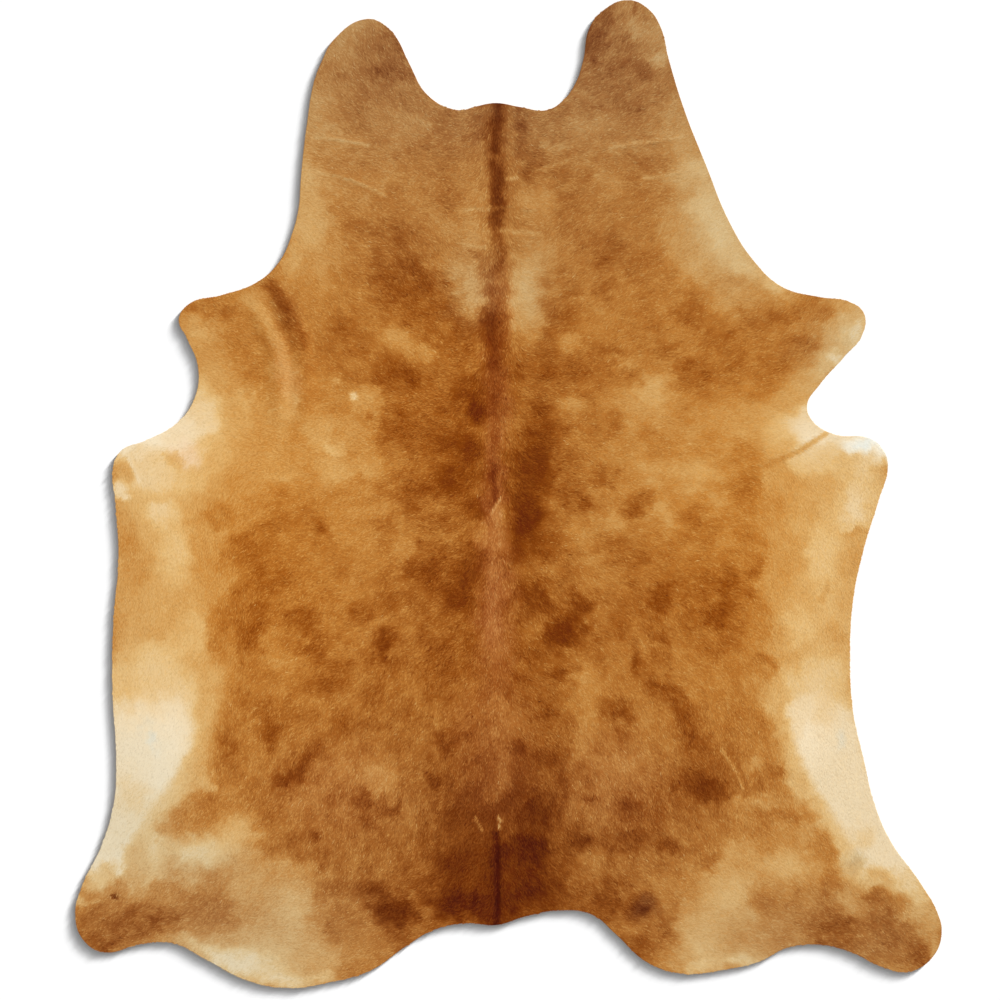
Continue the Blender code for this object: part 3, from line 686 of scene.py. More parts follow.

# %% [markdown]
# ## Fine marks
#
# The dark stripe along the spine, the closed tail seam, the shoulder fold and the few scars and
# nicks have their own lines. The fold's pale crest is partly pale hair and partly a painted
# highlight, and its dark hollow is painted shade. The seam's dark line is partly painted shade in
# its groove, the crease at the right armpit has a line of painted shade, and a small fold at the
# left corner has a painted highlight along it. A stroke has a half width, a tone, how strongly it
# covers, and its points. The two colour shifts have tables of ovals of their own.

# %% Marks along the spine
SPINE_MARKS = (
    # name, half width, tone, cover, points
    ("head end", 1.7, 5.2, 0.5, ((-5.0, 88), (-4.8, 81))),
    ("neck", 1.75, 7.2, 0.92, ((-2.8, 88), (-2.6, 84), (-2.9, 79), (-2.8, 76))),
    ("neck, low", 1.65, 7.1, 0.95, ((-3.0, 74), (-2.7, 70), (-2.5, 65))),
    ("withers", 1.5, 7.3, 0.85, ((-2.5, 63), (-2.7, 60.5))),
    ("fading", 1.3, 6.4, 0.8, ((-2.4, 58.5), (-2.0, 54), (-2.9, 50))),
    ("brush", 1.7, 5.6, 0.75, ((-3.4, 49), (-3.0, 45), (-3.8, 41))),
    ("shoulder", 2.2, 7.2, 0.85, ((-4.2, 39), (-3.4, 34))),
    ("shoulder, low", 1.9, 6.6, 0.85, ((-3.0, 33), (-2.4, 28))),
    ("patch", 1.7, 6.7, 0.8, ((-3.2, 25), (-3, 19))),
    ("low", 0.9, 6.3, 0.7, ((-2.8, 17), (-3.0, 9))),
    ("spot", 0.9, 7.0, 0.85, ((-3.0, 5.5), (-3.1, -2.6))),
    ("line", 0.5, 5.6, 0.6, ((-4.0, 0), (-4.2, -9), (-3.4, -12))),
    ("loin light", 2.2, 3.8, 0.75, ((-1.7, -5), (-2.0, -8), (-1.9, -11))),
    ("loin light, low", 2.2, 4.5, 0.65, ((-2.2, -16), (-2.0, -20.5))),
    ("loin rose", 4.0, 4.7, 0.65, ((-3.5, -21), (-3.2, -30))),
    ("loin tan", 2.9, 4.2, 0.6, ((-1.8, -31), (-2.9, -36))),
    ("croup light", 1.6, 4.4, 0.5, ((-3, -47), (-2.3, -52), (-1.3, -57), (-1.2, -64))),
)
print(len(SPINE_MARKS), "marks along the spine")

# %% Soft marks
SOFT_MARKS = (
    # The fold's pale crest is partly pale hair and partly a painted highlight; its dark hollow is
    # painted shade.
    ("shoulder fold, pale crest and painted highlight", 1.6, 2.95, 0.9,
     ((-57.5, 43.5), (-54.5, 40), (-52.5, 36.5), (-50.7, 32), (-49.6, 28), (-49, 23),
      (-49.3, 18.5), (-49.3, 13.5))),
    ("shoulder fold, painted shade in the hollow", 1.45, 6.3, 0.9, ((-53, 46.5), (-51.2, 44), (-49.4, 41), (-48, 38))),
    ("shoulder fold, painted shade in the hollow end", 1.2, 6.0, 0.75, ((-48.4, 39), (-46.6, 36.5), (-45.2, 33.5))),
    ("left belly, gold", 2.2, 2.5, 0.6,
     ((-66.5, -40), (-66.2, -50), (-67.8, -57), (-71.6, -62.5), (-76.8, -69), (-80.4, -75),
      (-84, -82))),
    ("right belly, gold", 1.8, 2.4, 0.6,
     ((60, -42), (60.2, -50), (63, -58), (66.6, -65), (71.4, -72.5), (75.5, -79.5))),
    ("left armpit, gold", 4.0, 2.5, 0.6, ((-64.5, 27), (-60.5, 20), (-61.5, 12), (-66, 6))),
    ("right armpit, gold", 3.0, 2.6, 0.6, ((65, 24), (59, 18), (60, 12))),
    ("corner white", 1.5, 0.0, 0.95, ((84.2, 9.6), (82.5, 11), (79, 11.4), (75.8, 11.2))),
    ("corner spot", 1.6, 3.1, 0.8, ((-86, 6), (-85, 4))),
    ("corner rim", 0.6, 3.0, 0.5, ((83.6, 8), (83.8, 5.5))),
    # The seam's broad shade and its dark core are partly painted shade in the seam's groove.
    ("tail seam, painted shade", 2.4, 7.7, 0.6, ((-2.9, -79.5), (-2.6, -84), (-3.0, -97))),
    ("tail seam, dark line and painted shade", 0.85, 8.3, 0.65, ((-2.4, -76), (-2.25, -82), (-2.35, -88), (-2.5, -97))),
    ("scar, shade", 0.6, 5.2, 0.4, ((49, -57.5), (50.8, -60.5), (52.4, -63.5))),
    ("hock dot", 0.42, 7.8, 0.9, ((-87.8, -89.2), (-86.8, -89.4))),
    ("thigh dot", 0.6, 7.6, 0.6, ((29.8, -92.6), (31.2, -93))),
    ("shoulder spot", 0.6, 1.0, 0.85, ((-34.9, 21.7), (-34.0, 21.4))),
    ("cheek dots", 0.3, 6.5, 0.7, ((28.2, 109.6), (27.6, 107.2))),
)
print(len(SOFT_MARKS), "soft marks")

# %% Fine lines
FINE_LINES = (
    # The seam's fine dark line is partly painted shade in its groove.
    ("tail seam", 0.35, 8.5, 0.5, ((-2.4, -75), (-2.25, -82), (-2.35, -88), (-2.5, -97))),
    # The darker line along the crease at the right armpit is painted shade in the crease.
    ("armpit crease, painted shade", 0.6, 3.9, 0.55,
     ((70.5, 13.4), (64.5, 9.4), (61.7, 8.2), (57.6, 6.3), (54.2, 4.6), (50.5, 3.2))),
    # The pale line at the left corner is a painted highlight along a small fold.
    ("corner fold, painted highlight", 0.5, 1.1, 0.85, ((-84.8, 8.8), (-83.8, 6.2), (-82.3, 3))),
    ("neck line, left high", 0.45, 2.6, 0.65,
     ((-43.5, 79.4), (-38, 78.8), (-34, 78.1), (-31.2, 77.7))),
    ("neck line, left low", 0.4, 2.7, 0.7,
     ((-42, 71.4), (-38.5, 70.9), (-34.8, 69.8), (-31.5, 68.6), (-27, 66.3))),
    ("neck line, branch", 0.4, 2.9, 0.65, ((-40.2, 68.4), (-38, 66.4))),
    ("neck line, spine", 0.45, 2.6, 0.75, ((-10, 63.2), (-4.6, 63.4))),
    ("neck line, over the spine", 0.4, 4.3, 0.5, ((-5, 63.8), (2.5, 63.7))),
    ("neck line, spine low", 0.5, 2.9, 0.7, ((-1.6, 58.8), (3.5, 58.4), (7, 57.9))),
    ("neck line, spine high", 0.4, 3.8, 0.5, ((-6.4, 70.3), (-4.4, 70.2))),
    ("neck line, spine high, right", 0.4, 3.0, 0.7, ((-0.6, 70.2), (2, 70.4))),
    ("neck break", 0.8, 4.6, 0.5, ((-6.6, 75.6), (-2.6, 75.2))),
    ("withers line", 0.4, 2.7, 0.7, ((-10, 55.5), (-5, 55))),
    ("neck line, right high", 0.45, 2.9, 0.5, ((22.5, 77), (29, 78.4), (34, 78.9), (41, 79.7))),
    ("neck line, right low", 0.42, 2.7, 0.6, ((30, 70.3), (34, 70.8), (39.8, 71.8))),
    ("neck line, right", 0.5, 3.1, 0.5, ((6, 72.2), (11, 73.4), (15, 75))),
    ("cheek line", 0.5, 2.7, 0.6, ((31, 96.5), (34.6, 97.5))),
    ("scar", 0.45, 3.0, 0.7, ((47.5, -57.0), (49.3, -59.7), (51.0, -62.5), (52.2, -66))),
    ("rump nick, left", 0.33, 3.4, 0.6, ((-7.4, -72.0), (-6.8, -73.3), (-5.9, -74.8))),
    ("rump nick, middle", 0.3, 7.2, 0.7, ((-2.9, -71.6), (-2.9, -75))),
    ("rump nick, right", 0.3, 2.4, 0.85, ((-2.1, -71.9), (-1.8, -72.8), (-2.0, -74.4))),
    ("thigh nick", 0.35, 3.4, 0.7, ((-21.0, -88.6), (-22.2, -90.0))),
    ("flank nick, left", 0.35, 3.2, 0.6, ((-58.3, -49.8), (-56.3, -47.7))),
    ("shoulder nick", 0.3, 2.4, 0.6, ((-53.2, 18.3), (-50.2, 19.2))),
    ("loin strand", 0.35, 2.9, 0.7, ((-1.8, -1.2), (-3.6, -4.2))),
    ("hock line", 0.35, 3.0, 0.6, ((-95, -91.5), (-91, -90.5))),
    ("flank fleck, left", 0.4, 2.2, 0.6, ((-77, -25), (-76.5, -25.8))),
    ("flank fleck, low", 0.4, 2.2, 0.5, ((-70.5, -33.5), (-69.5, -34))),
    ("flank fleck, high", 0.4, 2.3, 0.5, ((-67.5, 0.2), (-66.5, -0.4))),
    ("thigh tick", 0.4, 6.6, 0.6, ((-42.8, -75.8), (-42.8, -77.3))),
)
MARKS = (
    # table, how far it is pushed about, where its cover ends being full, where it ends
    (SPINE_MARKS, 0.45, 0.0, 1.8),
    (SOFT_MARKS, 0.3, 0.2, 1.6),
    (FINE_LINES, 0.08, 0.35, 1.5),
)
print(len(FINE_LINES), "fine lines")

# %% Colour shifts
DUST = (
    (0, 0, 130, 130, -0.2), (0, 100, 90, 38, 1.0), (0, 58, 40, 16, 0.25), (-58, -8, 28, 42, -0.5),
    (56, -8, 26, 40, -0.5), (-18, 20, 18, 26, -0.3), (0, -78, 60, 28, 0.25),
    (-62, -99, 36, 18, 0.8), (68, -100, 34, 13, 0.7), (-3, -88, 22, 16, 0.0),
    (-84, -74, 14, 20, 0.7), (72, 31, 9, 10, 0.4), (-8, 47, 6, 10, 0.6), (5, 46, 6, 12, 0.45),
    (47, 60, 10, 20, 0.5, 25), (-50.5, 42, 3, 8, 0.1, 30), (76, 36, 4, 6, 0.5, -35),
    (-84, -62, 6, 9, 0.2), (-80, -54, 1.2, 3, 0.9, 15), (74, -54.5, 1.1, 2.6, 0.9),
    (-70, -82, 12, 6, 0.8), (80, 11.5, 5, 1.5, 0.6), (77.5, -82, 3, 2.5, 0.9),
    (30.5, -92.5, 3, 3, 0.7), (-2.5, 76, 3, 14, 0.3), (-82, -95, 10, 6, 0.4), (73, -97, 9, 5, 0.3),
    (-80, -46, 8, 6, -0.3), (67, -52, 7, 8, -0.4), (-74, 11, 6, 4, -0.4),
)
ROSE = (
    (-2.6, 20, 3.2, 22, 0.5), (-3, -25, 4.5, 22, 0.7), (-3, -56, 10, 18, 0.3),
    (-2.6, 0, 3.0, 14, 0.6), (-49.5, 27, 3, 9, 0.3, 10), (-38, -66, 14, 12, 0.2),
    (24, -64, 12, 12, 0.2), (-72, 9, 3, 3, 0.5), (-3, 44, 4, 8, 0.3),
)
print(len(DUST), "dusty places and", len(ROSE), "rose ones")

# %% [markdown]
# ## The lie of the hair
#
# Hair on a hide is never straight up. It lies down and points away from the backbone and towards
# the tail, turns along the flanks and runs down each leg. The comb below says which way the hair
# points at any place: an angle from straight outwards, read from a short chart that runs from head
# to tail, turned to straight back along the spine and the flanks, and ruffled by noise. Growing a
# particle system and combing it by hand gives the same, but it can't be rebuilt from numbers.

# %% Comb
SPINE_X = -2.4
SPINE_REACH = 5.5
SPINE_FADE = (-30, 200)
SIDE_TURN = 1.5
COMB_CHART = (
    # y, degrees
    (-110, 15), (-96, 20), (-84, 45), (-77, 62), (-64, 68), (-50, 65), (-37, 40), (-24, 35),
    (-10, 20), (3, 8), (16, 0), (30, -20), (57, -28), (75, -10), (95, -40), (110, -60),
)
FLANK_ANGLE = 78
FLANK_EDGES = (-66, -48)
FLANK_MIDDLE = -22
FLANK_HALF = (22, 40)
STRAIGHT_BACK = 90
RUFFLE = 13
RUFFLE_SIZE = 9.0
FINE_RUFFLE = 0.6
FINE_RUFFLE_SIZE = 2.5


def falls_off(away, full, none):
    """1 up to full, 0 from none on, and smooth between."""
    share = np.clip((none - away) / (none - full), 0, 1)
    return share * share * (3 - 2 * share)


def comb(x, y):
    """Unit vectors along the hair at places in metres, from root to tip."""
    x, y = x / CM, y / CM
    angle = np.interp(y, *zip(*COMB_CHART))
    out = x - SPINE_X
    flank = falls_off(-np.abs(x), *FLANK_EDGES) * falls_off(np.abs(y - FLANK_MIDDLE), *FLANK_HALF)
    angle += (FLANK_ANGLE - angle) * flank
    spine = np.exp(-(out / SPINE_REACH) ** 2) * falls_off(-y, *SPINE_FADE)
    angle += (STRAIGHT_BACK - angle) * spine
    angle += (RUFFLE * clouds(x, y, RUFFLE_SIZE, 21, 2)
              + FINE_RUFFLE * RUFFLE * clouds(x, y, FINE_RUFFLE_SIZE, 22, 2))
    side = np.tanh(out / SIDE_TURN)
    turn = np.radians(angle)
    way = np.stack((side * np.cos(turn), -np.sin(turn)), -1)
    return way / np.maximum(np.linalg.norm(way, axis=-1), 1e-6)[..., None]


print("comb chart of", len(COMB_CHART), "places")

# %% [markdown]
# ## Laying the tones on
#
# The tones are worked out once, on a grid finer than the smallest mark, and then every lock of
# hair looks its own tone up there, as the survey is looked up. Painting an image would do for a
# picture, but the colour here has to belong to the hair, root and tip.

# %% Paint grid
PAINT = 2 * MM
PAINT_LOW = np.array((-1.0, -1.13))
PAINT_HIGH = (1.0, 1.13)
PAINT_X, PAINT_Y = np.meshgrid(np.arange(PAINT_LOW[0], PAINT_HIGH[0], PAINT) / CM,
                               np.arange(PAINT_LOW[1], PAINT_HIGH[1], PAINT) / CM)
PUSH = 1.1
PUSH_SIZE = 7.0
FRAY_SIZE = 1.7


def pushed_about(axis, push_seed, fray_seed):
    """One axis of the paint grid, pushed about by broad and by fine noise."""
    return (axis + PUSH * clouds(PAINT_X, PAINT_Y, PUSH_SIZE, push_seed)
            + PUSH * clouds(PAINT_X, PAINT_Y, FRAY_SIZE, fray_seed))


PUSHED_X = pushed_about(PAINT_X, 3, 5)
PUSHED_Y = pushed_about(PAINT_Y, 4, 6)
HAIR_WAY = comb(PAINT_X * CM, PAINT_Y * CM)
print("paint grid of", PAINT_X.shape[1], "x", PAINT_X.shape[0], "places")

# %% Brushes
PUSH_ROOM = 3
SOFT_EDGE = (0.3, 1.5)
BROAD_EDGE = (0.2, 1.6)


def window(x_low, x_high, y_low, y_high):
    """The part of the paint grid inside a box in centimetres."""
    rows, columns = PAINT_X.shape
    across = (np.array((x_low, x_high)) * CM - PAINT_LOW[0]) / PAINT
    along = (np.array((y_low, y_high)) * CM - PAINT_LOW[1]) / PAINT
    left, right = np.clip(across, 0, columns).astype(int)
    first, last = np.clip(along, 0, rows).astype(int)
    return slice(first, last + 1), slice(left, right + 1)


def oval(field, x, y, across, along, target, turn=0, cover=1.0, edge=SOFT_EDGE):
    """Brings a soft oval of the field to the target. The edge says where it starts and ends."""
    reach = edge[1] * max(across, along) + PUSH_ROOM
    part = window(x - reach, x + reach, y - reach, y + reach)
    cos, sin = math.cos(math.radians(turn)), math.sin(math.radians(turn))
    dx, dy = PUSHED_X[part] - x, PUSHED_Y[part] - y
    away = np.hypot((dx * cos + dy * sin) / across, (dy * cos - dx * sin) / along)
    field[part] += (target - field[part]) * (cover * falls_off(away, *edge))


def glaze(field, x, y, across, along, darker, turn=0):
    """Makes a soft oval of the field darker, or lighter, and keeps what is on it."""
    wash = np.zeros(field.shape)
    oval(wash, x, y, across, along, 1.0, turn, edge=BROAD_EDGE)
    field += wash * darker


def stroke(field, half_width, target, cover, line, pushed, full, none):
    """Brings a line of the field to the target, pushed about by a share of the noise."""
    points = np.array(line)
    reach = none * half_width + 2 + 2 * pushed
    (x_low, y_low), (x_high, y_high) = points.min(0) - reach, points.max(0) + reach
    part = window(x_low, x_high, y_low, y_high)
    x = PAINT_X[part] + pushed * (PUSHED_X[part] - PAINT_X[part])
    y = PAINT_Y[part] + pushed * (PUSHED_Y[part] - PAINT_Y[part])
    away, _ = line_distance(x, y, line)
    field[part] += (target - field[part]) * (cover * falls_off(away / half_width, full, none))


print("brushes ready")

# %% Laying on
GROUND_TONE = 4.25
SHADE_COVER = 0.9
BAND_COVER = 0.97
BAND_EDGE = (0.5, 0.55, 1.45)
CLOUD_COVER = 0.88
CONTRAST = 1.08
SHIFT_COVER = 0.9
SHIFT_EDGE = (0.1, 1.5)


def painted_tone():
    """The tone of each place: broad shades, clouds, glazes and marks, in that order."""
    tone = np.full(PAINT_X.shape, GROUND_TONE)
    for _, *row in SHADES:
        oval(tone, *row, cover=SHADE_COVER, edge=BROAD_EDGE)
    for _, half_width, target, line in BANDS:
        stroke(tone, half_width, target, BAND_COVER, line, *BAND_EDGE)
    broad = tone.copy()
    for row in (*NECK_CLOUDS, *SHOULDER_CLOUDS, *FLANK_CLOUDS, *BACK_CLOUDS, *HIND_CLOUDS):
        oval(tone, *row, cover=CLOUD_COVER)
    tone = broad + CONTRAST * (tone - broad)
    for _, *row in GLAZES:
        glaze(tone, *row)
    for rows, *edge in MARKS:
        for _, half_width, target, cover, line in rows:
            stroke(tone, half_width, target, cover, line, *edge)
    return tone


def painted_shift(table):
    """One of the two colour shifts, laid on as the tones are."""
    shift = np.zeros(PAINT_X.shape)
    for row in table:
        oval(shift, *row, cover=SHIFT_COVER, edge=SHIFT_EDGE)
    return shift


plain_tone = painted_tone()
dust_grid = painted_shift(DUST)
rose_grid = painted_shift(ROSE)
print("plain tones from", round(plain_tone.min(), 2), "to", round(plain_tone.max(), 2))

# %% Brindle
BRINDLE = (
    # size, seed, drawn out by (cm), amount
    (6.0, 11, 0.0, 0.18),
    (2.6, 12, 0.8, 0.34),
    (1.2, 13, 0.9, 0.36),
    (0.6, 14, 0.7, 0.34),
)
BRINDLE_CHART = (
    # tone, how uneven hair of that tone is
    (0.8, 0.05), (1.6, 0.1), (3.0, 0.33), (4.0, 0.74), (4.8, 1.1), (5.8, 1.12), (6.8, 0.58),
)
SMEAR_STEPS = 4


def drawn_out(field, reach):
    """A field smeared along the hair, by as much either way as reach, in centimetres."""
    total = np.zeros(field.shape)
    for k in range(-SMEAR_STEPS, SMEAR_STEPS + 1):
        offset = k / SMEAR_STEPS * reach
        total += look_up(field, (PAINT_X + offset * HAIR_WAY[..., 0]) * CM,
                         (PAINT_Y + offset * HAIR_WAY[..., 1]) * CM, PAINT_LOW, PAINT)
    return total / (2 * SMEAR_STEPS + 1)


def brindling(tone):
    """How uneven hair of a tone is: little in the cream, most in the russet, less in the dark."""
    return np.interp(tone, *zip(*BRINDLE_CHART))


lumps = np.zeros(plain_tone.shape)
for size, seed, drawn, amount in BRINDLE:
    field = clouds(PAINT_X, PAINT_Y, size, seed, 2)
    lumps += amount * (drawn_out(field, drawn) if drawn else field)
tone_grid = plain_tone + brindling(plain_tone) * lumps
print("tones from", round(tone_grid.min(), 2), "to", round(tone_grid.max(), 2))

# %% [markdown]
# ## From arrays to pieces
#
# There are over 300,000 locks of hair to come, so no piece is made point by point. Points and
# triangles are worked out as arrays of numbers, and each mesh takes them in one go. A bmesh would
# be easier to read, but it would take minutes. Every piece also gets a map that is the hide seen
# from above, and the pieces of hair carry their own colour on their points.

# %% Piece helpers
MAP_ROOM = 0.04
SHINE = np.array((0.001, 0.005, 0.004))


def new_piece(name, points, faces):
    """A smooth-shaded mesh object from arrays of points and triangles."""
    mesh = bpy.data.meshes.new(name)
    mesh.vertices.add(len(points))
    mesh.vertices.foreach_set("co", points.astype(np.float32).ravel())
    mesh.loops.add(faces.size)
    mesh.loops.foreach_set("vertex_index", faces.astype(np.int32).ravel())
    mesh.polygons.add(len(faces))
    mesh.polygons.foreach_set("loop_start", np.arange(0, faces.size, 3, dtype=np.int32))
    mesh.polygons.foreach_set("use_smooth", np.ones(len(faces), bool))
    mesh.update(calc_edges=True)
    mesh.validate()
    piece = bpy.data.objects.new(name, mesh)
    bpy.context.scene.collection.objects.link(piece)
    return piece


def flat_map(piece):
    """A map that is the hide seen from above."""
    mesh = piece.data
    corner = np.zeros(len(mesh.loops), np.int32)
    mesh.loops.foreach_get("vertex_index", corner)
    places = np.zeros(len(mesh.vertices) * 3, np.float32)
    mesh.vertices.foreach_get("co", places)
    places = places.reshape(-1, 3)[corner, :2]
    side = max(FLAT_SIZE) + MAP_ROOM
    middle = np.array((cad_low.xy + cad_high.xy)) / 2
    layer = mesh.uv_layers.new(name="OFBake")
    layer.uv.foreach_set("vector", ((places - middle) / side + 0.5).astype(np.float32).ravel())


def colour_points(piece, colours):
    """Gives each point of a mesh its hair colour, less what shine and glow will add to it."""
    attribute = piece.data.color_attributes.new("hair_colour", "FLOAT_COLOR", "POINT")
    pigment = np.maximum(linear(colours) - SHINE, 0.001)
    rgba = np.column_stack((pigment, np.ones(len(colours))))
    attribute.data.foreach_set("color", rgba.astype(np.float32).ravel())


def report(piece):
    """Prints how many triangles a piece has, and its size."""
    mesh = piece.data
    low, high = np.array(piece.bound_box).min(0), np.array(piece.bound_box).max(0)
    print(piece.name, len(mesh.polygons), "triangles,",
          " x ".join(str(round((b - a) / MM, 1)) for a, b in zip(low, high)), "mm")


print("piece helpers ready")

# %% [markdown]
# ## Sheets with a cut edge
#
# The skin and the hair mass are both closed sheets that end at the same cut. Each is made the way
# that a maker would cut it. The cut edge is repeated in rows, from the middle of the underside round
# the edge to the top, and each face is then filled with an even lattice of points that follows
# the folds. The lattice has to be finer than the folds, or the skin comes through the hair. A plane
# with a displacement modifier could not follow the outline so closely.

# %% Sheet helper
MERGE = 1e-7
CLEAR = 0.5  # of the spacing, between the lattice and the cut edge


def rim_row(inset, height):
    """The cut edge, moved inwards and set at a height above the sheet's underside."""
    return rim + inward * inset, height


def fill(row, spacing, turned_over):
    """Triangles that fill a closed row of points, and the lattice points they use."""
    low, high = row.min(0), row.max(0)
    across = np.arange(low[0], high[0], spacing)
    up = np.arange(low[1], high[1], spacing * math.sqrt(0.75))
    x, y = np.meshgrid(across, up)
    x[1::2] += spacing / 2
    x, y = x.ravel(), y.ravel()
    deepest = (np.linalg.norm(row - rim, axis=1)).mean()
    inside = look_up(margin_grid, x, y) > deepest + CLEAR * spacing
    lattice = np.stack((x[inside], y[inside]), 1)
    points = [Vector(p) for p in np.vstack((row, lattice))]
    found = delaunay_2d_cdt(points, [], [list(range(len(row)))], 1, MERGE)
    order = np.array([origin[0] for origin in found[3]])
    faces = order[np.array(found[2])]
    return lattice, faces[:, ::-1] if turned_over else faces


def closed_sheet(name, rows, under_spacing, top_spacing, under_relief=None, top_relief=None):
    """A closed sheet from rows of the cut edge, filled below the first and above the last."""
    count = len(rim)
    places = [row for row, _ in rows]
    heights = [np.full(count, height) for _, height in rows]
    faces = []
    here = np.arange(count)
    after = (here + 1) % count
    for k in range(len(rows) - 1):
        a, b = k * count, (k + 1) * count
        faces.append(np.stack((here + a, after + a, after + b), 1))
        faces.append(np.stack((here + a, after + b, here + b), 1))
    for row, spacing, turned, relief in ((0, under_spacing, True, under_relief),
                                         (len(rows) - 1, top_spacing, False, top_relief)):
        lattice, filled = fill(rows[row][0], spacing, turned)
        start = sum(len(p) for p in places)
        faces.append(np.where(filled < count, filled + row * count, filled - count + start))
        places.append(lattice)
        height = np.full(len(lattice), rows[row][1])
        heights.append(height + relief(lattice[:, 0], lattice[:, 1]) if relief else height)
    places, heights, faces = np.vstack(places), np.concatenate(heights), np.vstack(faces)
    lift = look_up(lift_grid, places[:, 0], places[:, 1])
    points = np.column_stack((places, heights + lift))
    return new_piece(name, points, faces)


print("sheet helper ready")

# %% [markdown]
# ## The skin
#
# The flesh side of a tanned hide is a pale tan suede, shaved level by a machine and then softened
# by hand, which leaves it slightly wavy. The cut edge is as thick as the skin and nearly square.
# The top is hidden by the hair, so it is filled coarsely.

# %% Skin
SUEDE_WAVE = 0.12 * MM
SUEDE_SIZE = 4.0
UNDER_SPACING = 14 * MM
SKIN_SPACING = 12 * MM
NICK = 0.3 * MM  # the worn corners of the cut edge


def suede_relief(x, y):
    """The shaved side's low waves, all above the floor."""
    return SUEDE_WAVE * (0.5 + 0.5 * np.clip(clouds(x / CM, y / CM, SUEDE_SIZE, 31, 3), -1, 1))


skin = closed_sheet("skin", [
    rim_row(8 * MM, 0.0),
    rim_row(0.8 * MM, 0.0),
    rim_row(0.0, NICK),
    rim_row(0.0, SKIN - NICK),
    rim_row(NICK, SKIN),
    rim_row(8 * MM, SKIN - NICK),
], UNDER_SPACING, SKIN_SPACING, under_relief=suede_relief)
flat_map(skin)
report(skin)

# %% [markdown]
# ## The hair mass
#
# Under the locks that can be told apart lies a felt of finer hair. It is one closed sheet with a
# rounded edge, and its top is modelled in low tufts that run along the comb. It carries the same
# colours as the locks, a shade deeper, because less light gets down there.

# %% Hair mass
MASS_TOP = SKIN + 1.0 * MM
MASS_SUNK = SKIN - 0.1 * MM
MASS_SPACING = 9 * MM
TUFT = 0.35 * MM
TUFT_LENGTH = 4.5
TUFT_DRAWN = 3.0
LYING = 0.1
FULLY_STANDING = 5
LEAST_STANDING = 0.2


def standing(tone):
    """How far hair of a tone stands up: the cream belly hair is short and lies flat."""
    return np.clip(LYING + tone / FULLY_STANDING, LEAST_STANDING, 1)


def painted(grid, x, y):
    """What one of the painted grids says at places in metres."""
    return look_up(grid, x, y, PAINT_LOW, PAINT)


def tuft_relief(x, y):
    """Low tufts drawn out along the hair, and the creases."""
    way = comb(x, y)
    along = (x * way[:, 0] + y * way[:, 1]) / CM
    across = (y * way[:, 0] - x * way[:, 1]) / CM
    tufts = clouds(along, across * TUFT_DRAWN, TUFT_LENGTH, 41, 2)
    return TUFT * standing(painted(tone_grid, x, y)) * tufts + crease_height(x, y)


hair_mass = closed_sheet("hair_mass", [
    rim_row(8 * MM, MASS_SUNK),
    rim_row(0.3 * MM, MASS_SUNK),
    rim_row(0.0, SKIN + 0.3 * MM),
    rim_row(0.5 * MM, SKIN + 0.75 * MM),
    rim_row(1.8 * MM, MASS_TOP),
    rim_row(6 * MM, MASS_TOP),
], UNDER_SPACING, MASS_SPACING, top_relief=tuft_relief)
flat_map(hair_mass)
report(hair_mass)

# %% Colour of the hair mass
FELT_TONES = 8  # hair that many tones down the chart would be one tone deeper
FELT_DEEPER = (0.05, 0.4)


def colours_at(x, y, tone_more=0.0):
    """Hair colour at places in metres, with a number of tones added."""
    tone = painted(tone_grid, x, y) + tone_more
    return coat_colour(np.clip(tone, 0, 9), painted(dust_grid, x, y), painted(rose_grid, x, y))


places = np.zeros(len(hair_mass.data.vertices) * 3, np.float32)
hair_mass.data.vertices.foreach_get("co", places)
mass_x, mass_y = places.reshape(-1, 3).astype(float)[:, :2].T
deeper = np.clip(painted(tone_grid, mass_x, mass_y) / FELT_TONES, *FELT_DEEPER)
colour_points(hair_mass, colours_at(mass_x, mass_y, deeper))
print("coloured", len(mass_x), "points, up to", round(deeper.max(), 2), "of a tone deeper")

# %% [markdown]
# ## Locks
#
# Cattle hair sticks together in flat, pointed locks about 3 mm wide, which lie over each other like
# shingles. Each lock is a leaf of two triangles with a raised middle, so it catches the light on
# one side. Four layers lie on each other, each with its own roots, so no gap goes all the way down.
# A lock takes its colour from the place under its middle, with painted shade deepening it towards
# its root, where the locks above cover it, and a paler, sun-bleached tip. It strays from that colour
# a little, more in the brindle than in the cream. Locks at the cut edge are clipped a hair beyond
# it.
#
# Real strands are far thinner than this, but there are millions of them. The strand pattern inside
# a lock is left to its material.

# %% Roots and tips
LOCK_SPACING = 5.75 * MM
EDGE_ROOT = 0.6 * MM
EDGE_TIP = -0.6 * MM
EDGE_SLACK = 0.5 * MM
LENGTHS = (0.7, 1.25)  # least and most, as shares of the layer's length
SHORTEST = 2 * MM
CLIPS = 3
CLIP_MORE = 1.15


def scattered(random):
    """Roots on the hide, one to each square of a grid, anywhere in it."""
    x, y = np.meshgrid(np.arange(cad_low.x, cad_high.x, LOCK_SPACING),
                       np.arange(cad_low.y, cad_high.y, LOCK_SPACING))
    x = (x + LOCK_SPACING * random.uniform(-0.5, 0.5, x.shape)).ravel()
    y = (y + LOCK_SPACING * random.uniform(-0.5, 0.5, y.shape)).ravel()
    on = look_up(margin_grid, x, y) > EDGE_ROOT
    return np.stack((x[on], y[on]), 1)


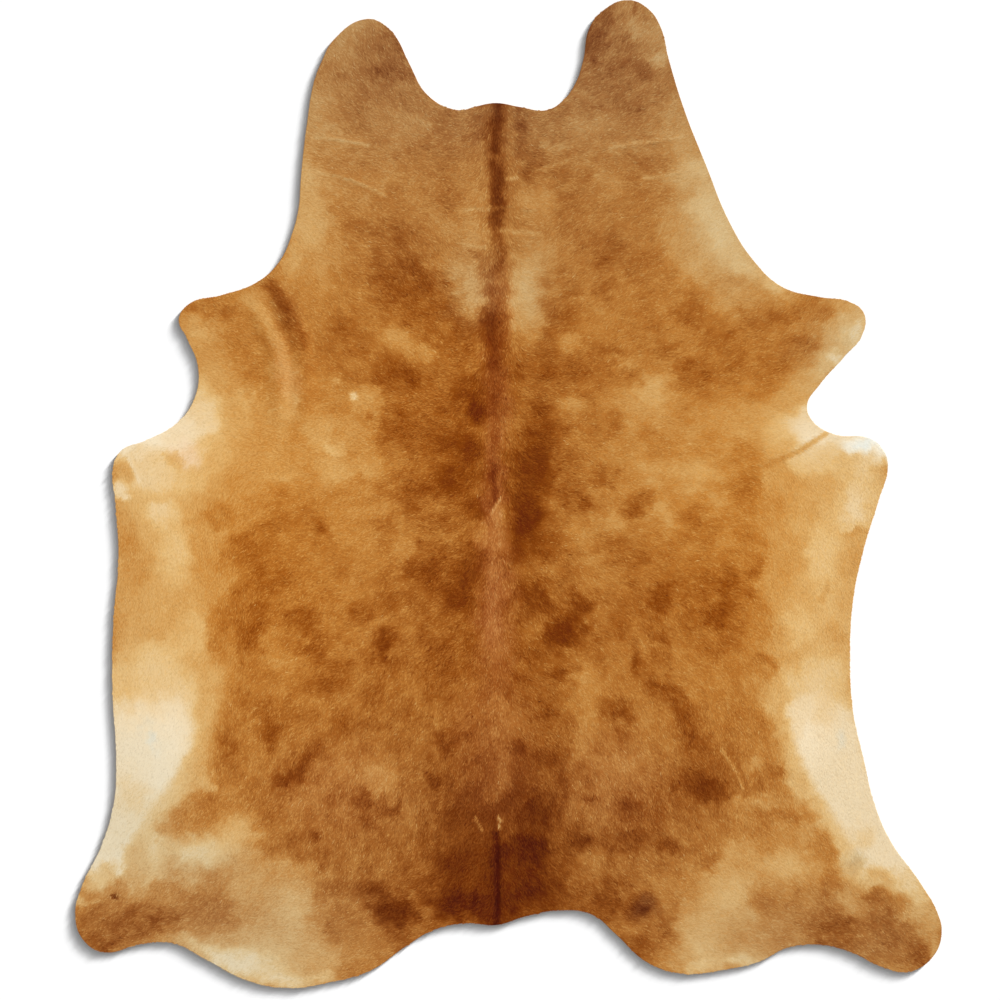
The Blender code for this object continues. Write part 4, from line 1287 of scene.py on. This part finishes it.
def grown(random, root, length, stray):
    """Roots, tips, ways and lengths of locks that end no further than just past the cut edge."""
    way = comb(root[:, 0], root[:, 1])
    turn = np.radians(random.normal(0, stray, len(root)))
    cos, sin = np.cos(turn), np.sin(turn)
    way = np.stack((way[:, 0] * cos - way[:, 1] * sin, way[:, 0] * sin + way[:, 1] * cos), 1)
    long = length * random.uniform(*LENGTHS, len(root))
    for _ in range(CLIPS):
        tip = root + way * long[:, None]
        over = EDGE_TIP - look_up(margin_grid, tip[:, 0], tip[:, 1])
        long = np.where(over > 0, np.maximum(long - CLIP_MORE * over, SHORTEST), long)
    tip = root + way * long[:, None]
    kept = look_up(margin_grid, tip[:, 0], tip[:, 1]) >= EDGE_TIP - EDGE_SLACK
    return root[kept], tip[kept], way[kept], long[kept]


# %% Shape of a lock
WIDTHS = (0.65, 1.35)  # shares of the layer's width
NARROWEST = 0.4
HEIGHTS = (0.6, 1.25)  # shares of the layer's tip height
WIDEST = 0.42
ROOT_SINK = -0.15 * MM
# Painted shade at the root and paler sun-bleached tips, in shares of a tone.
ROOT_SHADE_AND_BLEACH = 0.15
MAP_WIDTHS = 64  # lock widths that the strand map is spread over


def raised(place, above):
    """Points at heights above the top of the hair mass."""
    lift = look_up(lift_grid, place[:, 0], place[:, 1])
    crease = crease_height(place[:, 0], place[:, 1])
    return np.column_stack((place, MASS_TOP + lift + crease + above))


def strand_map(piece, shift):
    """A map inside each lock: across it, moved on by a random amount, and along it."""
    across = np.stack((shift + 0.5, shift + 1.0, shift + 0.5, shift), 1)
    along = np.tile((0.0, WIDEST, 1.0, WIDEST), (len(shift), 1))
    per_point = np.stack((across, along), 2).reshape(-1, 2)
    corner = np.zeros(len(piece.data.loops), np.int32)
    piece.data.loops.foreach_get("vertex_index", corner)
    layer = piece.data.uv_layers.new(name="strands")
    layer.uv.foreach_set("vector", per_point[corner].astype(np.float32).ravel())


print("a lock is widest at", WIDEST, "of its length")

# %% Locks
def lock_layer(name, seed, length, width, keel, height, stray, tone_stray):
    """One layer of leaf-shaped locks over the whole hide."""
    random = np.random.default_rng(seed)
    root, tip, way, long = grown(random, scattered(random), length, stray)
    count = len(root)
    half = 0.5 * width * random.uniform(*WIDTHS, count) * np.clip(long / length, NARROWEST, 1)
    side = np.stack((-way[:, 1], way[:, 0]), 1) * half[:, None]
    waist = root + (tip - root) * WIDEST
    tones = painted(tone_grid, root[:, 0], root[:, 1])
    calm = standing(tones)
    tip_height = height * random.uniform(*HEIGHTS, count) * (0.5 + 0.5 * calm)
    waist_height = ROOT_SINK + (tip_height - ROOT_SINK) * WIDEST - keel * calm
    points = np.stack((raised(root, ROOT_SINK), raised(waist - side, waist_height),
                       raised(tip, tip_height), raised(waist + side, waist_height)), 1)
    own = random.normal(0, tone_stray, count) * brindling(tones)
    middle = 0.5 * (root + tip)
    root_colour, tip_colour = (colours_at(middle[:, 0], middle[:, 1], own + shade * calm)
                               for shade in (ROOT_SHADE_AND_BLEACH, -ROOT_SHADE_AND_BLEACH))
    waist_colour = 0.5 * (root_colour + tip_colour)
    colours = np.stack((root_colour, waist_colour, tip_colour, waist_colour), 1)
    order = np.argsort(tip_height)
    first = 4 * np.arange(count)
    faces = np.stack((first, first + 1, first + 2, first, first + 2, first + 3), 1).reshape(-1, 3)
    piece = new_piece(name, points[order].reshape(-1, 3), faces)
    colour_points(piece, colours[order].reshape(-1, 3))
    flat_map(piece)
    strand_map(piece, random.uniform(0, MAP_WIDTHS, count))
    report(piece)
    return piece


LAYERS = (
    # name, seed, length, width, keel and tip height in mm, stray in degrees, stray of tone
    ("under_hair", 101, 12.0, 4.0, 0.30, 0.35, 20, 0.28),
    ("body_hair", 102, 11.5, 3.2, 0.30, 0.60, 18, 0.35),
    ("top_hair", 103, 10.5, 2.7, 0.28, 0.85, 18, 0.41),
    ("guard_hair", 104, 11.5, 1.5, 0.18, 1.05, 20, 0.60),
)
HAIR_PIECES = []
for name, seed, length, width, keel, height, stray, tone_stray in LAYERS:
    sizes = (size * MM for size in (length, width, keel, height))
    HAIR_PIECES.append(lock_layer(name, seed, *sizes, stray, tone_stray))
print(sum(len(piece.data.polygons) for piece in HAIR_PIECES) // 2, "locks")

# %% [markdown]
# ## Finishes
#
# Hair is coloured through and through and shines softly, more along a strand than across it. The
# material takes each lock's own colour, deepens it at the root, where neighbours shade it, and
# breaks it into strands with noise that is stretched along the lock. Suede has no shine at all: its
# nap scatters the light, and brushing leaves it cloudy.

# %% Node helpers
GRAIN = (0.3, 0.7)  # the part of a noise's range that is used


def material_tree(name):
    """A new material, its nodes and its one shader."""
    material = bpy.data.materials.new(name)
    material.use_nodes = True
    return material, material.node_tree, material.node_tree.nodes["Principled BSDF"]


def noise_node(tree, source, scale, detail, stretch=(1, 1, 1)):
    """Noise on a map or a place, with its space stretched."""
    mapping = tree.nodes.new("ShaderNodeMapping")
    mapping.inputs["Scale"].default_value = stretch
    noise = tree.nodes.new("ShaderNodeTexNoise")
    noise.inputs["Scale"].default_value = scale
    noise.inputs["Detail"].default_value = detail
    tree.links.new(source, mapping.inputs["Vector"])
    tree.links.new(mapping.outputs["Vector"], noise.inputs["Vector"])
    return noise.outputs["Fac"]


def ranged(tree, value, low, high, to_low, to_high):
    """A value moved from one range to another."""
    node = tree.nodes.new("ShaderNodeMapRange")
    numbers = {"From Min": low, "From Max": high, "To Min": to_low, "To Max": to_high}
    for slot, number in numbers.items():
        node.inputs[slot].default_value = number
    tree.links.new(value, node.inputs["Value"])
    return node.outputs["Result"]


print("node helpers ready, for", GRAIN, "of a noise's range")

# %% Shader helpers
def combined(tree, operation, first, second, third=0.0):
    """Two values put together, and a constant for a multiply and add."""
    node = tree.nodes.new("ShaderNodeMath")
    node.operation = operation
    tree.links.new(first, node.inputs[0])
    tree.links.new(second, node.inputs[1])
    node.inputs[2].default_value = third
    return node.outputs["Value"]


def shaded(tree, colour, amount):
    """A colour made lighter or darker by an amount."""
    node = tree.nodes.new("ShaderNodeVectorMath")
    node.operation = "SCALE"
    tree.links.new(colour, node.inputs[0])
    tree.links.new(amount, node.inputs["Scale"])
    return node.outputs["Vector"]


def finished(tree, surface, colour, grain, roughness, shine, relief, depth):
    """Gives a shader its colour, and roughness and relief that follow one grain."""
    tree.links.new(colour, surface.inputs["Base Color"])
    tree.links.new(ranged(tree, grain, *GRAIN, *roughness), surface.inputs["Roughness"])
    surface.inputs["Specular IOR Level"].default_value = shine
    bumped = tree.nodes.new("ShaderNodeBump")
    bumped.inputs["Strength"].default_value = relief
    bumped.inputs["Distance"].default_value = depth
    tree.links.new(grain, bumped.inputs["Height"])
    tree.links.new(bumped.outputs["Normal"], surface.inputs["Normal"])


print("shader helpers ready")

# %% Hair finish
WARM_SHINE = (1.0, 0.7, 0.4, 1.0)
STRAND_SCALE = 3.2
STRAND_STRETCH = (1.0, 0.35, 1.0)
PALE_CALM = (0.13, 0.6, 1.0, 0.15)  # strands and roots show less in paler hair
ROOT_LENGTH = 0.55  # of the lock
FELT_GRAIN = 180.0


def hair_colour(tree):
    """The colour that was painted on the hair's points."""
    colour = tree.nodes.new("ShaderNodeVertexColor")
    colour.layer_name = "hair_colour"
    return colour.outputs["Color"]


def hair_finish(name, strand_depth, root_shade, relief):
    """Hair in locks: own colour, strands along the lock, and a deeper root."""
    material, tree, surface = material_tree(name)
    colour = hair_colour(tree)
    strands = tree.nodes.new("ShaderNodeUVMap")
    strands.uv_map = "strands"
    fine = noise_node(tree, strands.outputs["UV"], STRAND_SCALE, 2.0, STRAND_STRETCH)
    split = tree.nodes.new("ShaderNodeSeparateXYZ")
    tree.links.new(strands.outputs["UV"], split.inputs["Vector"])
    channels = tree.nodes.new("ShaderNodeSeparateColor")
    tree.links.new(colour, channels.inputs["Color"])
    contrast = ranged(tree, channels.outputs["Green"], *PALE_CALM)
    strand_light = ranged(tree, fine, *GRAIN, -strand_depth, strand_depth)
    root_light = ranged(tree, split.outputs["Y"], 0.0, ROOT_LENGTH, root_shade - 1, 0.0)
    both = combined(tree, "ADD", strand_light, root_light)
    amount = combined(tree, "MULTIPLY_ADD", contrast, both, 1.0)
    finished(tree, surface, shaded(tree, colour, amount), fine,
             roughness=(0.62, 0.5), shine=0.1, relief=relief, depth=0.3 * MM)
    surface.inputs["Specular Tint"].default_value = WARM_SHINE
    return material


def felt_finish():
    """The felt under the locks: the same colour, matt and mottled."""
    material, tree, surface = material_tree("under_felt")
    place = tree.nodes.new("ShaderNodeTexCoord")
    mottle = noise_node(tree, place.outputs["Object"], FELT_GRAIN, 4.0)
    light = ranged(tree, mottle, *GRAIN, 0.86, 1.06)
    colour = shaded(tree, hair_colour(tree), light)
    finished(tree, surface, colour, mottle,
             roughness=(0.75, 0.6), shine=0.08, relief=0.2, depth=0.4 * MM)
    surface.inputs["Specular Tint"].default_value = WARM_SHINE
    return material


lock_finish = hair_finish("hair_locks", strand_depth=0.10, root_shade=0.84, relief=0.25)
guard_finish = hair_finish("guard_hairs", strand_depth=0.14, root_shade=0.90, relief=0.2)
*soft_hair, guard_hair = HAIR_PIECES
for piece in soft_hair:
    piece.data.materials.append(lock_finish)
guard_hair.data.materials.append(guard_finish)
hair_mass.data.materials.append(felt_finish())
print("finishes:", lock_finish.name, guard_finish.name, hair_mass.data.materials[0].name)

# %% Suede finish
SUEDE = (208, 176, 136)
SUEDE_SHADE = (176, 138, 98)
BRUSHED_SCALE = 9.0
NAP_SCALE = 700.0


def suede_finish():
    """Suede: two close shades brushed into each other, and a fine matt nap."""
    material, tree, surface = material_tree("suede")
    place = tree.nodes.new("ShaderNodeTexCoord")
    brushed = noise_node(tree, place.outputs["Object"], BRUSHED_SCALE, 5.0)
    nap = noise_node(tree, place.outputs["Object"], NAP_SCALE, 3.0)
    blend = tree.nodes.new("ShaderNodeMix")
    blend.data_type = "RGBA"
    blend.inputs["A"].default_value = (*linear(SUEDE_SHADE), 1)
    blend.inputs["B"].default_value = (*linear(SUEDE), 1)
    tree.links.new(ranged(tree, brushed, *GRAIN, 0.0, 1.0), blend.inputs["Factor"])
    light = ranged(tree, nap, *GRAIN, 0.88, 1.06)
    colour = shaded(tree, blend.outputs["Result"], light)
    finished(tree, surface, colour, nap,
             roughness=(1.0, 0.85), shine=0.1, relief=0.35, depth=0.3 * MM)
    return material


skin.data.materials.append(suede_finish())
print("finish of the flesh side:", skin.data.materials[0].name)

# %% [markdown]
# ## Floor and light
#
# The hide lies on pale paper in an even room light. A broad lamp overhead lights it, and a weaker
# one, low at the upper right, rakes over the hair and the folds so that they stand out. The floor
# has low lights of its own from the same side, one above the other like a tall strip lamp. They
# draw the soft shadow along the left and lower edges, deep at the hide and fading outwards. Light
# linking keeps the two apart, because one lamp strong enough for that shadow would make every hair
# look like wire. The colours are shown as they are, without a film look.

# %% Floor
FLOOR_HALF = 30.0
FLOOR_GAP = 0.2 * MM
PAPER = (0.9, 0.9, 0.9, 1)

corners = [(x * FLOOR_HALF, y * FLOOR_HALF, -FLOOR_GAP)
           for x, y in ((-1, -1), (1, -1), (1, 1), (-1, 1))]
floor_mesh = bpy.data.meshes.new("floor")
floor_mesh.from_pydata(corners, [], [(0, 1, 2, 3)])
floor = bpy.data.objects.new("floor", floor_mesh)
bpy.context.scene.collection.objects.link(floor)
floor_finish, _, floor_surface = material_tree("floor_paper")
floor_surface.inputs["Base Color"].default_value = PAPER
floor_surface.inputs["Roughness"].default_value = 0.9
floor_surface.inputs["Specular IOR Level"].default_value = 0.05
floor_mesh.materials.append(floor_finish)
print("floor", 2 * FLOOR_HALF, "m wide,", round(FLOOR_GAP / MM, 1), "mm below the hide")

# %% Lights
ROOM = 0.30
LAMPS = (
    # name, angle from +x, height, spread in degrees, light on a level face, what it lights
    ("overhead", 40, 72, 70, 0.65, "hide"),
    ("raking", 42, 19, 10, 0.16, "hide"),
    ("floor_low", 45, 6.5, 5, 0.40, "floor"),
    ("floor_middle", 45, 10, 8, 0.34, "floor"),
    ("floor_high", 45, 20, 15, 0.12, "floor"),
)


def lamp(name, turn, height, spread, level_light, lit):
    """A sun whose light is given by what falls on a level face, for one group of pieces only."""
    turn, height = math.radians(turn), math.radians(height)
    data = bpy.data.lights.new(name, "SUN")
    data.angle = math.radians(spread)
    data.energy = level_light * math.pi / math.sin(height)
    source = bpy.data.objects.new(name, data)
    toward = Vector((math.cos(turn) * math.cos(height), math.sin(turn) * math.cos(height),
                     math.sin(height)))
    source.rotation_euler = toward.to_track_quat("Z", "Y").to_euler()
    bpy.context.scene.collection.objects.link(source)
    group = bpy.data.collections.new("lit_by_" + name)
    for piece in ([floor] if lit == "floor" else [skin, hair_mass, *HAIR_PIECES]):
        group.objects.link(piece)
    source.light_linking.receiver_collection = group
    print(name, round(data.energy, 2), "W/m2,", round(math.degrees(height)), "degrees up")


world = bpy.data.worlds.new("room")
world.use_nodes = True
world.node_tree.nodes["Background"].inputs["Color"].default_value = (1, 1, 1, 1)
world.node_tree.nodes["Background"].inputs["Strength"].default_value = ROOM
bpy.context.scene.world = world
for row in LAMPS:
    lamp(*row)
bpy.context.scene.view_settings.view_transform = "Standard"

# %% [markdown]
# ## Hand over
#
# Every piece lies on the one body. The skin is the sheet of leather that was cut, and the hair goes
# with it. The plain solid is hidden, and the skin and the hair mass show in its place.

# %% Finish
for piece in (skin, hair_mass, *HAIR_PIECES):
    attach(piece, "root")
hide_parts("hide")
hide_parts("hide")
